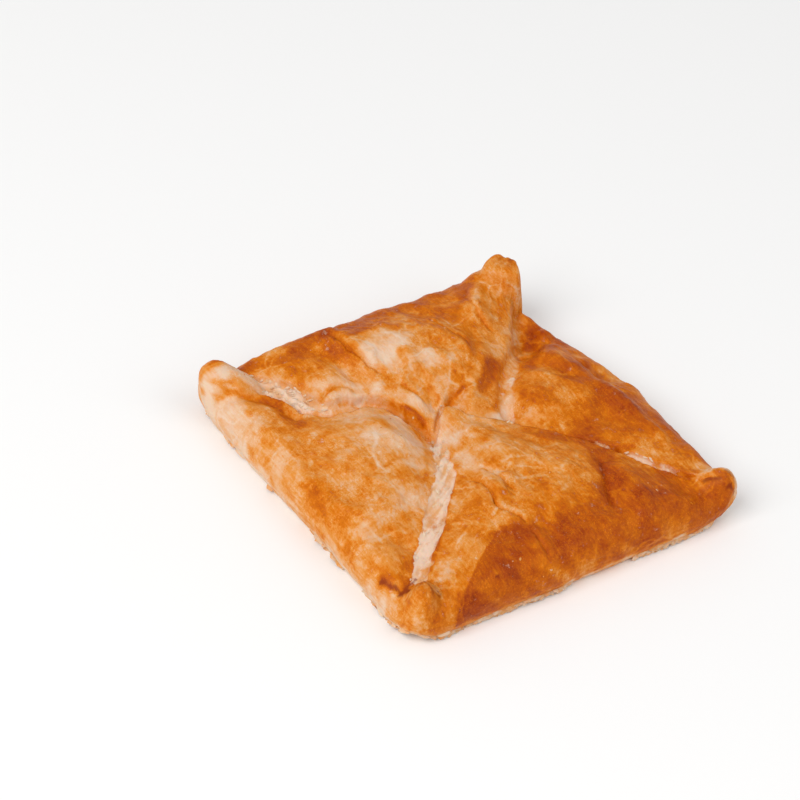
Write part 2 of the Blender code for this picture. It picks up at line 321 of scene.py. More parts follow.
# %% The bent sheet
def flat_sheet(a, b):
    """Turns a point of the plain grid into one of the flat sheet, and says on which flap it is. a goes from
    -1 - SHARED to 1 + SHARED and b from -1 to 1."""
    beyond = abs(a) - SHARED
    at_side = beyond >= abs(b)
    ring = np.clip(np.where(at_side, beyond, abs(b)), 0, 1)
    across = np.where(at_side, b / np.maximum(beyond, 1e-9), a / (abs(b) + SHARED))
    share = np.clip((across + 1) / 2, 0, 1)
    sides = np.where(a < 0, "front_left", "back_right")
    flap = np.where(at_side, sides, np.where(b < 0, "front_right", "back_left"))
    seams = {}
    for name, corner_x, corner_y in (("front", -1, -1), ("right", 1, -1), ("back", 1, 1), ("left", -1, 1)):
        corner = (corner_x * SHEET_HALF / MM, corner_y * SHEET_HALF / MM)
        seams[name] = at_share(smooth_line(SEAMS[name] + [corner]), ring)
    place = np.zeros((2, *a.shape))
    for name, start, end in (
        ("front_left", "front", "left"),
        ("front_right", "front", "right"),
        ("back_right", "right", "back"),
        ("back_left", "left", "back"),
    ):
        place = np.where(flap == name, seams[start] * (1 - share) + seams[end] * share, place)
    tip = smooth_line(SEAMS["tip"])
    along = np.where(at_side, a > 0, share)
    straight = tip[0][:, None] * (1 - along) + tip[-1][:, None] * along
    place += (at_share(tip, along) - straight) * (1 - ramp(ring / TIP_REACH))
    return place[0], place[1], flap


# %% [markdown]
# ## What the seams do to the surface
#
# The bare strip isn't smooth. Its edges are ragged, and the cut layers lie in it like the edges of a stack
# of paper, so fine ridges run along it. Where a flap's edge overhangs, points near the edge also move
# sideways over the strip. The function returns all of that: height, sideways push, and how bare the dough
# is.

# %% Sections across the seams
# In mm, at stations evenly spaced along each seam: half the width of the strip between the flaps, how deep
# it lies, how far it rises to its right edge, how far the flap on the left and the one on the right stand
# up, and how far they overhang. Then how bare the strip is and how pitted, 0 to 1. Left and right are
# those of somebody who walks to the corner. The dip is the depth and the reach of the soft valley around
# the seam, and the slope is the distance over which an edge comes down to the strip. A row that is left
# out is 0 all along.
SECTIONS = {
    "front": {
        "band": (1.8, 2.6, 2.8, 2.5, 1.0),
        "cut": (0.4, 0.6, 0.7, 0.6, 0.2),
        "tilt": (0.2, 0.5, 0.5, 0.4, 0.1),
        "left": (0.2, 0.4, 0.5, 0.4, 0.0),
        "right": (0.0, 0.2, 0.2, 0.1, 0.0),
        "over": (0.0, 0.2, 0.2, 0.2, 0.0),
        "bare": (0.8, 1.0, 1.0, 1.0, 0.4),
        "pits": (0.2, 0.15, 0.1, 0.2, 0.0),
        "dip": (2.8, 10),
        "slope": 1.0,
    },
    "tip": {
        "band": (0.4, 0.5, 0.3, 0.2, 0.2),
        "cut": (0.9, 1.2, 0.9, 0.5, 0.5),
        "left": (0.0, 0.2, 0.0, 0.0, 0.0),
        "right": (1.0, 1.5, 1.9, 1.8, 1.7),
        "over": (0.1, 0.3, 0.4, 0.5, 0.6),
        "bare": (0.3, 0.2, 0.1, 0.0, 0.0),
        "dip": (1.5, 7),
        "slope": 0.9,
    },
    "right": {
        "band": (0.3, 0.4, 0.5, 0.5, 0.4, 0.4),
        "cut": (0.6, 0.7, 0.7, 0.9, 1.2, 2.0),
        "left": (0.0, 0.2, 1.0, 1.9, 1.8, 2.4),
        "right": (1.7, 1.5, 0.7, 0.0, 0.0, 0.0),
        "over": (0.5, 0.5, 0.3, 0.5, 0.5, 0.6),
        "bare": (0.0, 0.1, 0.5, 0.9, 0.3, 0.0),
        "dip": (2.2, 9),
        "slope": 0.9,
    },
    "back": {
        "band": (2.2, 2.0, 1.4, 0.9, 0.5, 0.4),
        "cut": (0.3, 0.4, 0.6, 1.0, 1.8, 2.0),
        "left": (0.2, 0.6, 1.4, 3.4, 5.0, 4.0),
        "right": (0.2, 0.2, 0.2, 0.0, 0.0, 0.0),
        "over": (0.0, 0.1, 0.2, 0.6, 0.8, 0.0),
        "bare": (0.4, 0.3, 0.1, 0.0, 0.0, 0.0),
        "pits": (0.1, 0.1, 0.1, 0.0, 0.0, 0.0),
        "dip": (2.6, 9),
        "slope": 2.4,
    },
    "left": {
        "band": (0.5, 0.9, 0.8, 1.7, 2.2, 2.8, 2.2, 0.8),
        "cut": (1.8, 2.8, 2.2, 0.8, 1.0, 1.2, 0.8, 0.3),
        "tilt": (0.0, 0.0, 0.0, 0.4, 1.4, 1.8, 1.2, 0.0),
        "left": (0.2, 0.0, 0.0, 0.2, 0.5, 0.7, 0.4, 0.0),
        "right": (0.8, 2.4, 2.6, 1.8, 1.4, 1.6, 1.0, 0.4),
        "over": (0.2, 0.6, 0.5, 0.5, 0.5, 0.5, 0.3, 0.0),
        "bare": (0.1, 0.0, 0.1, 0.4, 0.8, 1.0, 0.9, 0.3),
        "pits": (0.0, 0.0, 0.0, 0.2, 1.0, 1.0, 0.8, 0.0),
        "dip": (3.0, 9),
        "slope": 1.5,
    },
}
LIP_REACH = 7 * MM
RAGGED = 0.60 * MM  # how far the edges of the strip waver
LAYER_WIDTH, LAYER_RELIEF = 1.6 * MM, 0.16 * MM
TEAR_WIDTH, TEAR_DEPTH = 2.0 * MM, 1.2 * MM
TEAR_SHARE = 0.6  # of the cells are torn out where the strip is fully pitted
OVERHANG_REACH = 0.9 * MM
SEAM_LINES = {name: smooth_line(points) for name, points in SEAMS.items()}
print("seams:", {name: round(lengths_along(line)[-1] / MM) for name, line in SEAM_LINES.items()}, "mm long")


# %% Relief of a seam
def seam_relief(x, y, name, seed):
    """Height, sideways push and bareness that a seam adds, how far each point is from it, how torn the dough
    is there, and which way the seam runs."""
    section = SECTIONS[name]
    side, place, away_x, away_y = beside_line(x, y, SEAM_LINES[name])
    stations = np.linspace(0, 1, len(section["band"]))
    rows = {
        key: np.interp(place, stations, section.get(key, np.zeros(len(stations))))
        for key in ("band", "cut", "tilt", "left", "right", "over", "bare", "pits")
    }
    band, cut, tilt, left, right, over = (row * MM for row in list(rows.values())[:6])
    bare, pitted = rows["bare"], rows["pits"]
    along = place * lengths_along(SEAM_LINES[name])[-1]
    ragged = RAGGED * rough(x, y, 3.5 * MM, seed, 3) + RAGGED * hills(x, y, 9 * MM, seed + 3)
    away = abs(side + ragged * ramp(band / MM))
    outside = ramp((away - band) / (section["slope"] * MM))
    past = np.clip(away - band, 0, None)
    lip = np.where(side > 0, left, right) * outside * np.exp(-((past / LIP_REACH) ** 2))
    depth, reach = section["dip"]
    dip = depth * MM * np.exp(-((side / (reach * MM)) ** 2))
    stack = rough(side + 0.3 * along, along / 5, LAYER_WIDTH, seed + 7, 3)
    _, middle, chosen = cells(side, along * 0.5, TEAR_WIDTH, seed + 8)
    pit = np.where(chosen < TEAR_SHARE, np.clip(1 - (middle / 0.6) ** 2, 0, 1), 0) * pitted
    inside = (1 - outside) * ramp(band / MM)
    layers = (LAYER_RELIEF * stack - TEAR_DEPTH * pit) * inside
    push = -over * np.exp(-(((past - OVERHANG_REACH) / OVERHANG_REACH) ** 2)) * outside
    bare = bare * (0.85 + (0.3 + 1.2 * (1 - bare)) * rough(x, y, 5 * MM, seed + 9, 3))
    bareness = bare * (1 - ramp((past - 0.2 * MM) / (0.8 * MM)))
    layer = stack - 0.8 * pit
    rise = tilt * np.clip(-side / np.maximum(band, 0.1 * MM), -1, 1) * (1 - outside)
    height = lip - dip - cut * (1 - outside) + rise + layers
    torn = bareness * (0.6 * pitted + 0.25 * (1 - inside) ** 2)
    relief = {"height": height, "x": push * away_x, "y": push * away_y, "bare": bareness, "side": side}
    return relief | {"layer": layer, "torn": torn, "along_x": -away_y, "along_y": away_x}


# %% [markdown]
# ## Folds, hollows and swellings
#
# Between the seams the flaps are far from flat: the cheese lifts them, the steam bends them, and the dough
# folds where it had too much room. Each such form is a rounded ridge or hollow along a short line. A list
# of them, with places, widths and heights, is quicker to adjust than a sculpted mesh, and stays readable.

# %% Forms of the flaps
SWELL = {"front_left": 1.6 * MM, "front_right": 2.6 * MM, "back_right": 3.0 * MM, "back_left": 4.6 * MM}
SWELL_REACH = 13 * MM

# Two ends (x, y), half width and height, in mm.
FORMS = {
    "back_left_ridge": ((-17, 58), (-15, 36), 4.0, 2.2),
    "back_left_hollow": ((-25, 50), (-20, 36), 4.5, -2.2),
    "back_left_bulge": ((-9, 46), (6, 36), 13.0, 3.6),
    "back_left_spine": ((8, 50), (19, 25), 6.0, 1.8),
    "back_left_dip": ((3, 12), (14, 20), 4.0, -1.6),
    "hub_hollow": ((-4, 24), (-4, 13), 3.0, -1.8),
    "horn_spine": ((36, 46), (50, 54), 7.0, 4.0),
    "horn_foot": ((44, 24), (54, 36), 5.0, -4.0),
    "horn_lip": ((61, 54), (60, 42), 3.0, 2.6),
    "back_right_ridge": ((46, 18), (58, -34), 4.0, 1.6),
    "back_right_bulge": ((27, -4), (34, 8), 6.0, 1.2),
    "back_right_hollow": ((44, -22), (50, -8), 3.5, -1.2),
    "front_right_hollow": ((30, -37), (20, -56), 4.5, -2.6),
    "front_right_swell": ((-2, -18), (12, -34), 7.0, 1.4),
    "front_right_ridge": ((32, -42), (30, -62), 5.0, 1.6),
    "front_left_swell": ((-34, 2), (-44, -16), 12.0, 1.4),
    "front_left_hollow": ((-53, -30), (-48, -41), 3.6, -1.2),
    "front_left_valley": ((-55, 48), (-47, 33), 3.2, -2.0),
    "front_left_valley_end": ((-48, 32), (-53, 20), 3.6, -1.0),
    "nub_shoulder": ((-48, -58), (-42, -62), 4.0, 0.8),
    "ear_hollow": ((57, -58), (60, -61), 2.0, -3.5),
    "olive_fold": ((55, 10), (59, -38), 1.6, -0.7),
    "tip_fold": ((1, 2), (10, -12), 2.4, -0.9),
    "hub_star_a": ((12, 9), (24, 19), 2.0, -1.3),
    "hub_star_b": ((1, 12), (11, 15), 1.6, -1.2),
    "hub_star_c": ((6, 6), (10, 14), 2.2, 0.9),
    "spine_valley": ((19, 22), (26, 34), 2.2, -1.0),
    "white_flap": ((33, 44), (40, 52), 2.6, 1.0),
    "cheek_a": ((-30, 12), (-22, -4), 5.0, 0.7),
    "cheek_b": ((-58, 6), (-54, -12), 4.0, -0.6),
    "cheek_c": ((-62, -12), (-50, -33), 2.4, 0.8),
    "apron_a": ((-14, -30), (-8, -44), 5.0, 0.7),
    "apron_b": ((6, -42), (16, -38), 4.0, 0.7),
    "apron_c": ((40, -56), (50, -62), 4.0, -0.8),
    "apron_d": ((-12.5, -27), (-12.5, -36), 1.8, 0.9),
    "apron_e": ((-6, -31), (-5, -40), 2.4, 0.8),
    "apron_f": ((-8, -52), (-6, -58), 3.0, -0.8),
    "apron_g": ((6, -12), (16, -22), 3.0, -0.8),
    "bulge_fold": ((-3, 32), (8, 27), 3.0, 0.9),
    "bulge_fold_b": ((6, 34), (14, 30), 2.6, -0.9),
    "cavity": ((-42, 44), (-38.5, 37), 1.4, -1.6),
    "cheek_d": ((-40, -24), (-33, -32), 3.0, -0.7),
    "cheek_e": ((-56, -20), (-44, -22), 3.0, 0.7),
    "back_right_slope": ((59, 26), (60, 2), 7.0, -3.6),
    "back_right_slope_low": ((61, 0), (63, -38), 5.0, -1.2),
    "back_right_fold": ((34, 12), (44, -4), 2.4, 0.8),
    "back_right_fold_b": ((40, 16), (50, -2), 2.2, -0.8),
}

# Sharp creases, where one fold of a flap lies on the next: points, how deep the crease is, how far its
# right side and its left side stand up, and how far the higher side overhangs, in mm.
CREASES = {
    "back_left_crease": ([(-19, 58), (-19, 50), (-17.5, 41), (-15, 34), (-13, 30)], 1.0, 1.5, 0.0, 0.7),
    "hook": ([(-16.5, -36), (-17, -41), (-15, -44), (-12.5, -48), (-11.5, -52)], 0.8, 0.5, 0.3, 0.3),
    "hook_twin": ([(-9, -26), (-8.5, -31), (-10, -36), (-9, -41)], 0.4, 0.3, 0.2, 0.2),
    "apron_fold_a": (
        [(-11.2, -21.4), (-9.9, -24.1), (-9, -29.4), (-8.5, -34.4), (-7.9, -39.9)],
        0.6,
        0.7,
        0.1,
        0.4,
    ),
    "apron_fold_b": ([(-17, -23), (-15, -27.4), (-15.3, -32.7), (-17.2, -40.9)], 0.6, 0.6, 0.1, 0.4),
    "apron_fold_c": ([(-9.8, -21.1), (-8.1, -25.4), (-6, -28.8), (-2, -27.1)], 0.4, 0.4, 0.2, 0.3),
    "apron_crease": ([(-12.5, -53), (-12.5, -60), (-13, -66)], 0.6, 0.3, 0.2, 0.2),
    "valley_edge": ([(31, -34), (27, -41), (24.5, -46), (22, -52), (21, -58)], 0.7, 0.0, 0.7, 0.5),
    "roll_crease": ([(-38, 33), (-33, 34), (-28, 34), (-24, 31)], 0.8, 0.6, 0.2, 0.5),
    "hub_fold": ([(-6, 14), (-7.5, 20), (-11, 26)], 0.5, 0.4, 0.2, 0.2),
    "star_fold": ([(-0.5, 12), (4, 14.5), (10, 15)], 0.7, 0.0, 0.5, 0.3),
    "horn_crease": ([(38, 56), (34, 48), (33, 40), (35, 32)], 0.5, 0.2, 0.3, 0.2),
    "spine_crease": ([(19, 24), (20, 32), (16, 42), (14, 52)], 0.4, 0.2, 0.4, 0.2),
    "right_tear": ([(38, -32), (41, -34), (45, -36)], 0.8, 0.0, 0.4, 0.2),
    "corner_tear": ([(-65, -44), (-63.5, -49), (-62, -53), (-59, -51.5), (-56, -51)], 0.35, 0.15, 0.2, 0.0),
    "cheek_crease": ([(-40, -8), (-33, -6), (-28, -8)], 0.3, 0.2, 0.0, 0.1),
    "ear_crease_a": ([(-67, 55), (-62, 52), (-56, 51)], 0.7, 0.3, 0.3, 0.2),
    "ear_crease_b": ([(-66, 60), (-61, 57.5), (-55, 56)], 0.6, 0.3, 0.2, 0.2),
}
CREASE_WIDTH, CREASE_LIP = 1.1 * MM, 4 * MM
print("forms:", len(FORMS), "and creases:", len(CREASES))


# %% Relief of the forms and the creases
def along_forms(x, y, forms, seed):
    """The sum of rounded ridges and hollows. Their edges waver a little."""
    total = np.zeros(x.shape)
    waver = 0.22 * rough(x, y, 7 * MM, seed, 3)
    for start, end, half_width, height in forms.values():
        away = abs(beside_line(x, y, np.array([start, end]) * MM)[0]) / (half_width * MM)
        total += height * np.exp(-(np.clip(away + waver, 0, None) ** 2))
    return total


def crease_relief(x, y, crease, seed):
    """Height and sideways push of a sharp crease, and how near each point is to it."""
    points, depth, right, left, over = crease
    line = smooth_line(points, 3)
    side, place, away_x, away_y = beside_line(x, y, line)
    side = side + 0.25 * MM * rough(x, y, 3 * MM, seed, 2)
    ends = ramp(place * 6) * ramp((1 - place) * 6)
    away = abs(side)
    outside = ramp(away / CREASE_WIDTH)
    stands = np.where(side > 0, left, right)
    stand = stands * MM * outside * np.exp(-((away / CREASE_LIP) ** 2))
    push = -over * MM * np.exp(-(((away - 0.8 * MM) / (0.7 * MM)) ** 2)) * (stands > 0.25)
    height = (stand - depth * MM * np.exp(-((away / CREASE_WIDTH) ** 2))) * ends
    return height, push * away_x * ends, push * away_y * ends, np.exp(-((away / (0.9 * MM)) ** 2)) * ends


# %% [markdown]
# ## Fine relief of the crust
#
# Two things make puff pastry look like puff pastry close up. The outer skin flakes, so its surface lies in
# thin terraces with curling borders. And steam raises blisters. Both are worked out in the flat sheet's
# coordinates, so they run on round the fold. A grid of half a millimetre holds them; finer grain is left
# to the material.


# %% Terraces and blisters
def terraces(u, v, width, seed):
    """Thin layers that end in ragged borders: their height from border to border, and the border itself."""
    bend = 0.35 * width
    wu = u + bend * rough(u, v, 0.6 * width, seed + 1, 3)
    wv = v + bend * rough(u, v, 0.6 * width, seed + 2, 3)
    level = 1.6 * rough(wu, wv, width, seed, 3)
    step = np.floor(level)
    rest = level - step
    return step + ramp(rest / 0.14) - level, np.exp(-(((rest - 0.05) / 0.10) ** 2))


def blisters(u, v, width, seed, share):
    """Domes raised by steam, on this share of the cells."""
    _, middle, chosen = cells(u, v, width, seed)
    size = 0.28 + 0.25 * chosen / share
    return np.where(chosen < share, np.clip(1 - (middle / size) ** 2, 0, 1) ** 0.8 * size, 0)


# %% [markdown]
# ## The ears
#
# At each corner of the square two folds meet, and the trapped air puffs them into an ear: rounded ones at
# the left, right and front corners, and a tall horn at the back. Each is a dome on an oval, raised out of
# the flaps, and leant outwards so that it overhangs the side a little.

# %% Ears
# Middle (x, y), half length along the diagonal, half width, height of the top and outward lean of the top,
# mm, and how blunt it is.
EARS = {
    "front": ((-58.5, -60.0), 9.5, 7.5, 18.0, 0.5, 2.4),
    "right": ((60.5, -59.5), 12.0, 7.5, 18.5, 3.5, 2.4),
    "back": ((46.5, 54.0), 15.0, 13.0, 25.0, 2.5, 2.4),
    "back_tip": ((51.2, 52.7), 8.0, 9.2, 29.4, 2.0, 9.0),
    "back_knob": ((53.6, 50.9), 5.0, 5.0, 28.8, 1.5, 6.0),
    "left": ((-58.0, 57.0), 15.5, 10.0, 20.5, 5.0, 2.4),
}
EAR_BLEND = 2.0 * MM
print("ears:", {name: height for name, (_, _, _, height, _, _) in EARS.items()}, "mm high")


def soft_most(a, b, blend):
    """The larger of a and b, rounded where they are alike."""
    mix = np.clip(0.5 + 0.5 * (a - b) / blend, 0, 1)
    return b + (a - b) * mix + blend * mix * (1 - mix)


def with_ears(x, y, height, share):
    """Raises the ears over the top and leans them outwards. Also says how much of each point is ear."""
    lean_x, lean_y, on_ear = np.zeros(x.shape), np.zeros(x.shape), np.zeros(x.shape)
    uneven = 1 + 0.10 * rough(x, y, 9 * MM, 61, 3)
    for (ear_x, ear_y), half_length, half_width, ear_height, lean, blunt in EARS.values():
        out_x, out_y = math.copysign(math.sqrt(0.5), ear_x), math.copysign(math.sqrt(0.5), ear_y)
        dx, dy = x - ear_x * MM, y - ear_y * MM
        along, across = dx * out_x + dy * out_y, dy * out_x - dx * out_y
        reach = np.hypot(along / (half_length * MM), across / (half_width * MM)) * uneven
        lobe = ear_height * MM * np.sqrt(np.clip(1 - reach**blunt, 0, 1))
        on_ear = np.maximum(on_ear, ramp((lobe - height) / MM))
        height = soft_most(height, lobe, EAR_BLEND)
        pushed = lean * MM * ramp((1 - reach) * 1.6) * share
        lean_x += pushed * out_x
        lean_y += pushed * out_y
    return lean_x, lean_y, height, on_ear


# %% [markdown]
# ## How far each spot is baked
#
# One number says it all: toast, from 0 for raw-pale dough through peach, gold and amber to 1 for dark
# brown. It starts from an even gold, wanders a little, grows on blisters and ridges, and is then
# corrected: a mark is a soft-edged streak with a width and an amount, brown or pale, where this oven and
# this fold left one. Some marks are painted shade instead, browner in recesses and folds, under a lip and
# on slopes that face away from the light, and two are painted light, paler where a slope or a valley lies
# in shade.

# %% Marks of the oven, painted shade and painted light
# Two ends (x, y), how far the mark fades out in mm, and how much more or less the crust is baked there. For
# the painted shade and light, the amount says how much browner or paler the crust is painted.
MARKS = {
    "cheek": ((-40, 22), (-38, -26), 20.0, -0.07),
    "cheek_pale": ((-30, 20), (-22, -2), 9.0, -0.07),
    "cheek_streak": ((-38, 14), (-38, -4), 3.0, -0.06),
    "cream_side": ((-64, 52), (-65, 36), 5.0, -0.30),
    "seam_brown": ((-55.5, 49), (-50.5, 40.5), 2.8, 0.24),
    "seam_brown_end": ((-50.5, 40), (-49.5, 26), 3.4, 0.22),
    "rim_pale": ((-70, 30), (-68, -50), 4.0, -0.20),
    "tear_brown": ((-65, -46), (-57, -52), 2.6, 0.12),
    "patch_edge": ((-47, -65.5), (-30, -54), 7.5, 0.32),
    "patch_top": ((-20, -50), (-15, -51), 8.0, 0.20),
    "patch": ((-28, -62), (-16, -56), 7.0, 0.12),
    "patch_tail": ((-48, -67), (-20, -67), 3.0, 0.22),
    "patch_right": ((-12, -54), (-2, -60), 6.0, 0.18),
    "hem": ((-4, -61), (54, -62), 7.0, 0.35),
    "hem_upper": ((-8, -48), (16, -50), 6.0, 0.13),
    "apron_low": ((-30, -39), (0, -40), 5.0, 0.08),
    "valley": ((31, -34), (21, -57), 5.0, 0.22),
    # Painted shadow: browner under the raised lip of the front right flap along the right seam.
    "under_lip": ((18, -12), (36, -31), 3.6, 0.18),
    "beyond_valley": ((30, -44), (44, -54), 8.0, 0.20),
    "apron_light": ((-6, -8), (4, -20), 8.0, -0.12),
    "by_nub": ((-50, -56), (-46, -60), 4.0, -0.06),
    "back_right_all": ((36, 4), (56, -40), 16.0, 0.08),
    "back_right_far": ((46, 18), (52, -22), 7.0, 0.20),
    "spot_middle": ((27, 1), (31, -3), 3.6, 0.14),
    "spot_low": ((38, -26), (50, -32), 5.5, 0.10),
    # Painted shade: browner along the far right edge, whose slopes face away from the light.
    "olive_edge": ((59, 20), (64, -44), 5.0, 0.15),
    "right_light": ((46, -38), (54, -48), 3.5, -0.10),
    "cream_bulge": ((-13, 40), (-4, 40), 6.5, -0.34),
    "bulge_left": ((-22, 56), (-19, 40), 3.5, 0.20),
    "bulge_high": ((-14, 54), (0, 53), 4.0, 0.16),
    # Painted light: paler in the valley below the left ear, which the ear shades.
    "ear_valley": ((-56, 52), (-46, 51), 4.5, -0.24),
    # Painted light: paler on the slope near the middle that faces away from the key light.
    "cheek_hub": ((-21, 10), (-20, -2), 5.0, -0.14),
    "cheek_inner": ((-32, 16), (-30, -6), 6.0, -0.04),
    "cheek_seam": ((-44, -28), (-32, -22), 4.0, -0.10),
    "hub_light": ((-4, 20), (2, 4), 5.0, -0.10),
    "tip_light": ((-8, 2), (14, -5), 7.0, -0.14),
    "right_brown": ((50, -8), (52, -20), 3.5, 0.16),
    "right_brown_far": ((52, 34), (51, 22), 3.0, 0.14),
    "horn_foot_light": ((42, 33), (48, 37), 4.0, -0.19),
    "back_seam_light": ((24, 24), (34, 28), 4.0, -0.12),
    "patch_hole": ((-12, -46), (-6, -52), 4.0, -0.06),
    "patch_low": ((-27, -61), (-17, -60), 4.0, 0.12),
    "hem_right": ((44, -61), (52, -60), 4.0, -0.16),
    "peach_bulge": ((-8, 32), (2, 31), 5.0, -0.17),
    "facet": ((-38, 52), (-26, 48), 6.0, 0.20),
    "facet_top": ((-30, 60), (-20, 58), 4.0, 0.22),
    # Painted shade: browner along the back strip, whose slope turns away from the light.
    "back_strip": ((-16, 61), (40, 61), 8.0, 0.24),
    "spine": ((17, 46), (20, 24), 3.5, 0.04),
    # Painted shade: brown in the hollows of the star folds beside the middle.
    "star_brown": ((14, 11), (25, 20), 2.6, 0.26),
    "star_brown_b": ((1, 12.5), (9, 15), 1.3, 0.16),
    "seam_cream": ((15, 0), (21, 5), 3.4, -0.34),
    "seam_cream_far": ((25, 11), (38, 23), 2.2, -0.16),
    "white_patch": ((30, 43), (38, 50), 2.6, -0.18),
    "cream_left": ((-40, 39), (-34, 36), 3.4, -0.16),
    "roll_cream": ((-36, 31), (-24, 30), 2.6, -0.20),
    "roll_top": ((-27, 34), (-17, 28.5), 3.0, -0.14),
    "roll_top_b": ((-17, 28), (-7.5, 12), 2.6, -0.17),
    "rim_below": ((-21, 21), (-16, 4), 3.0, -0.03),
    # Painted shade: warm orange along the fold on the upper left of the rolled edge.
    "fold_glow": ((-33, 34.5), (-21, 29.5), 1.2, 0.20),
    "tear_a": ((-31.7, 29.8), (-28.5, 29.5), 0.6, 0.24),
    "tear_b": ((-27, 28.6), (-24.5, 26), 0.6, 0.20),
    "middle_light": ((-24, 22), (-16, 2), 12.0, -0.10),
    "hub_east": ((0, 24), (12, 8), 9.0, -0.14),
    "apron_top": ((-4, -8), (12, -10), 4.0, 0.12),
    "apron_hub": ((-11.5, -12), (-10.5, -27), 3.2, -0.24),
    "cheek_spot": ((-41, -38), (-34, -36), 3.5, 0.25),
    "cheek_spot_low": ((-54, -44), (-50, -43), 3.0, 0.14),
    "cheek_low_pale": ((-58, -28), (-51, -26), 3.5, -0.20),
    "facet_pale": ((-27, 46), (-24, 40), 4.0, -0.14),
    # Painted shadow: browner along the foot of the horn.
    "horn_foot_brown": ((58, 42), (60, 27), 4.0, 0.32),
    "by_band": ((-50, -50), (-44, -54), 4.0, -0.10),
    "valley_right": ((28, -51), (30, -54), 3.5, 0.22),
    "low_pale": ((16, -58), (20, -62), 4.0, -0.24),
    "patch_end": ((-18, -58), (-11, -58), 5.0, 0.10),
    "rim_low": ((-68, -44), (-67, -60), 3.0, -0.14),
    "ear_cream": ((-62, 56), (-57.5, 53.5), 2.2, -0.14),
    "rim_line": ((-14, 15.7), (-16, 0.7), 0.8, 0.10),
    "rim_line_low": ((-16, 0.7), (-28, -17), 0.9, 0.12),
    "hub_tan": ((-2, 26), (-2, 17), 2.6, 0.14),
    "apron_top_left": ((-3, -7), (-1, -10), 2.6, 0.13),
    "apron_brown": ((2, -23), (9, -18), 3.4, 0.13),
    "cheek_streak_low": ((-44, -28), (-40, -28), 2.4, 0.15),
    "right_rim_pale": ((63, 9), (63, -12), 2.4, -0.13),
    # Painted shadow: darker in the recess beside the horn's foot.
    "horn_recess": ((49.5, 30), (55, 37), 3.4, 0.45),
    "front_line": ((-22, -23), (-50, -51), 1.1, 0.20),
    "ear_flank": ((-69, 65), (-67, 56), 3.0, -0.36),
    "ear_top_line": ((-60, 59), (-53, 57.5), 0.7, 0.20),
    "right_ear_rim": ((60, -53), (64.5, -61), 2.4, -0.14),
    "right_ear_hollow": ((56, -58), (60, -65), 2.2, 0.14),
    "nub": ((-60, -58), (-57, -63), 5.0, 0.12),
    "horn": ((44, 48), (54, 56), 8.0, 0.04),
    "spine_brown": ((14, 50), (30, 48), 6.0, 0.14),
    "spine_foot": ((20, 30), (24, 22), 4.0, 0.10),
    "valley_low": ((22, -46), (26, -57), 4.0, 0.26),
    "patch_foot": ((-26, -61), (-10, -62), 5.0, 0.10),
    "hub_front": ((-12, 0), (-7, -4), 4.0, -0.12),
    "cheek_high": ((-49, 2), (-46, 4), 4.0, -0.12),
    "lip_brown": ((12, -17), (18, -20), 3.0, 0.10),
    "right_middle": ((38, -14), (54, -10), 5.0, 0.10),
    "bulge_left_low": ((-17, 38), (-12, 30), 4.0, 0.05),
    "edge_low": ((-62, -16), (-59, -40), 4.0, -0.04),
    "rim_high": ((-67, 22), (-66, 4), 5.0, -0.14),
    "ear_back": ((-56, 63), (-50, 61), 3.5, 0.30),
    "rim_mid": ((-62, -2), (-60, -18), 5.0, 0.10),
    "facet_left": ((-42, 49), (-36, 50), 4.0, -0.13),
    "crease_pale": ((-22, 42), (-17, 38), 3.5, -0.14),
    "cream_top": ((-16, 49), (-2, 47), 5.0, 0.12),
    "bulge_light": ((6, 36), (12, 28), 6.0, -0.13),
    "star_light": ((11, 24), (13, 18), 4.0, -0.14),
    "back_brown": ((20, 56), (34, 52), 6.0, 0.10),
    "right_far": ((53, 18), (54, 8), 4.0, 0.22),
    "cheek_mid_pale": ((-42, -13), (-41, -20), 3.5, -0.15),
    "cheek_low_pale_b": ((-40, -8), (-30, -8), 3.5, -0.11),
    "by_band_brown": ((-21, -23), (-22, -34), 2.6, 0.14),
    "apron_mid": ((-9, -30), (-6, -42), 4.0, -0.12),
    "cheek_lower": ((-57, -48), (-44, -42), 3.4, 0.14),
    "patch_below": ((-22, -62), (-10, -66), 5.0, 0.19),
    "right_wide": ((38, -24), (58, -28), 8.0, 0.09),
    "right_ear_pale": ((58, -57), (64, -61), 5.0, -0.30),
    "tip_end_light": ((19, 0), (22, -14), 4.0, -0.09),
}

# Two of them have a crisp left side, where a fold shaded the dough: how far they fade out there, in mm.
CRISP_LEFT = {"patch_edge": 0.5, "patch_top": 1.0}

# %% Burns, freckles and lines
# Spots where the sugar in the dough has burnt: two ends (x, y), half width in mm, and how dark they are.
BURNS = {
    "tear_down": ((-64.4, -45.6), (-62, -52.5), 0.45, 0.8),
    "tear_blob": ((-62.3, -53), (-60.6, -54.2), 0.9, 0.9),
    "tear_up": ((-61, -53), (-55, -50.8), 0.40, 0.7),
    "dash": ((-47.5, -65.5), (-45, -65), 0.45, 0.5),
    "dot": ((-33, -64), (-32.6, -64), 0.40, 1.0),
    "ear_slit_a": ((54.5, -58), (57, -61), 0.35, 0.7),
    "ear_slit_b": ((58, -63.5), (62, -65.5), 0.45, 0.9),
    "ear_slit_c": ((60, -59), (62, -62), 0.30, 0.5),
    "right_spot": ((55, -27.5), (56, -28), 0.40, 0.6),
    "nub_spot": ((-60, -57), (-58.5, -58), 0.40, 0.5),
}
# Wrinkled skin with brown freckles: middle (x, y), reach in mm and how dark the freckles are.
FRECKLES = {
    "nub": ((-55.0, -59.5), 8.0, 0.72),
    "horn_tip": ((53.5, 53.0), 6.0, 0.75),
    "right_ear": ((59.5, -62.0), 4.5, 0.50),
    "seam_valley": ((-49.0, 40.0), 6.0, 0.12),
}
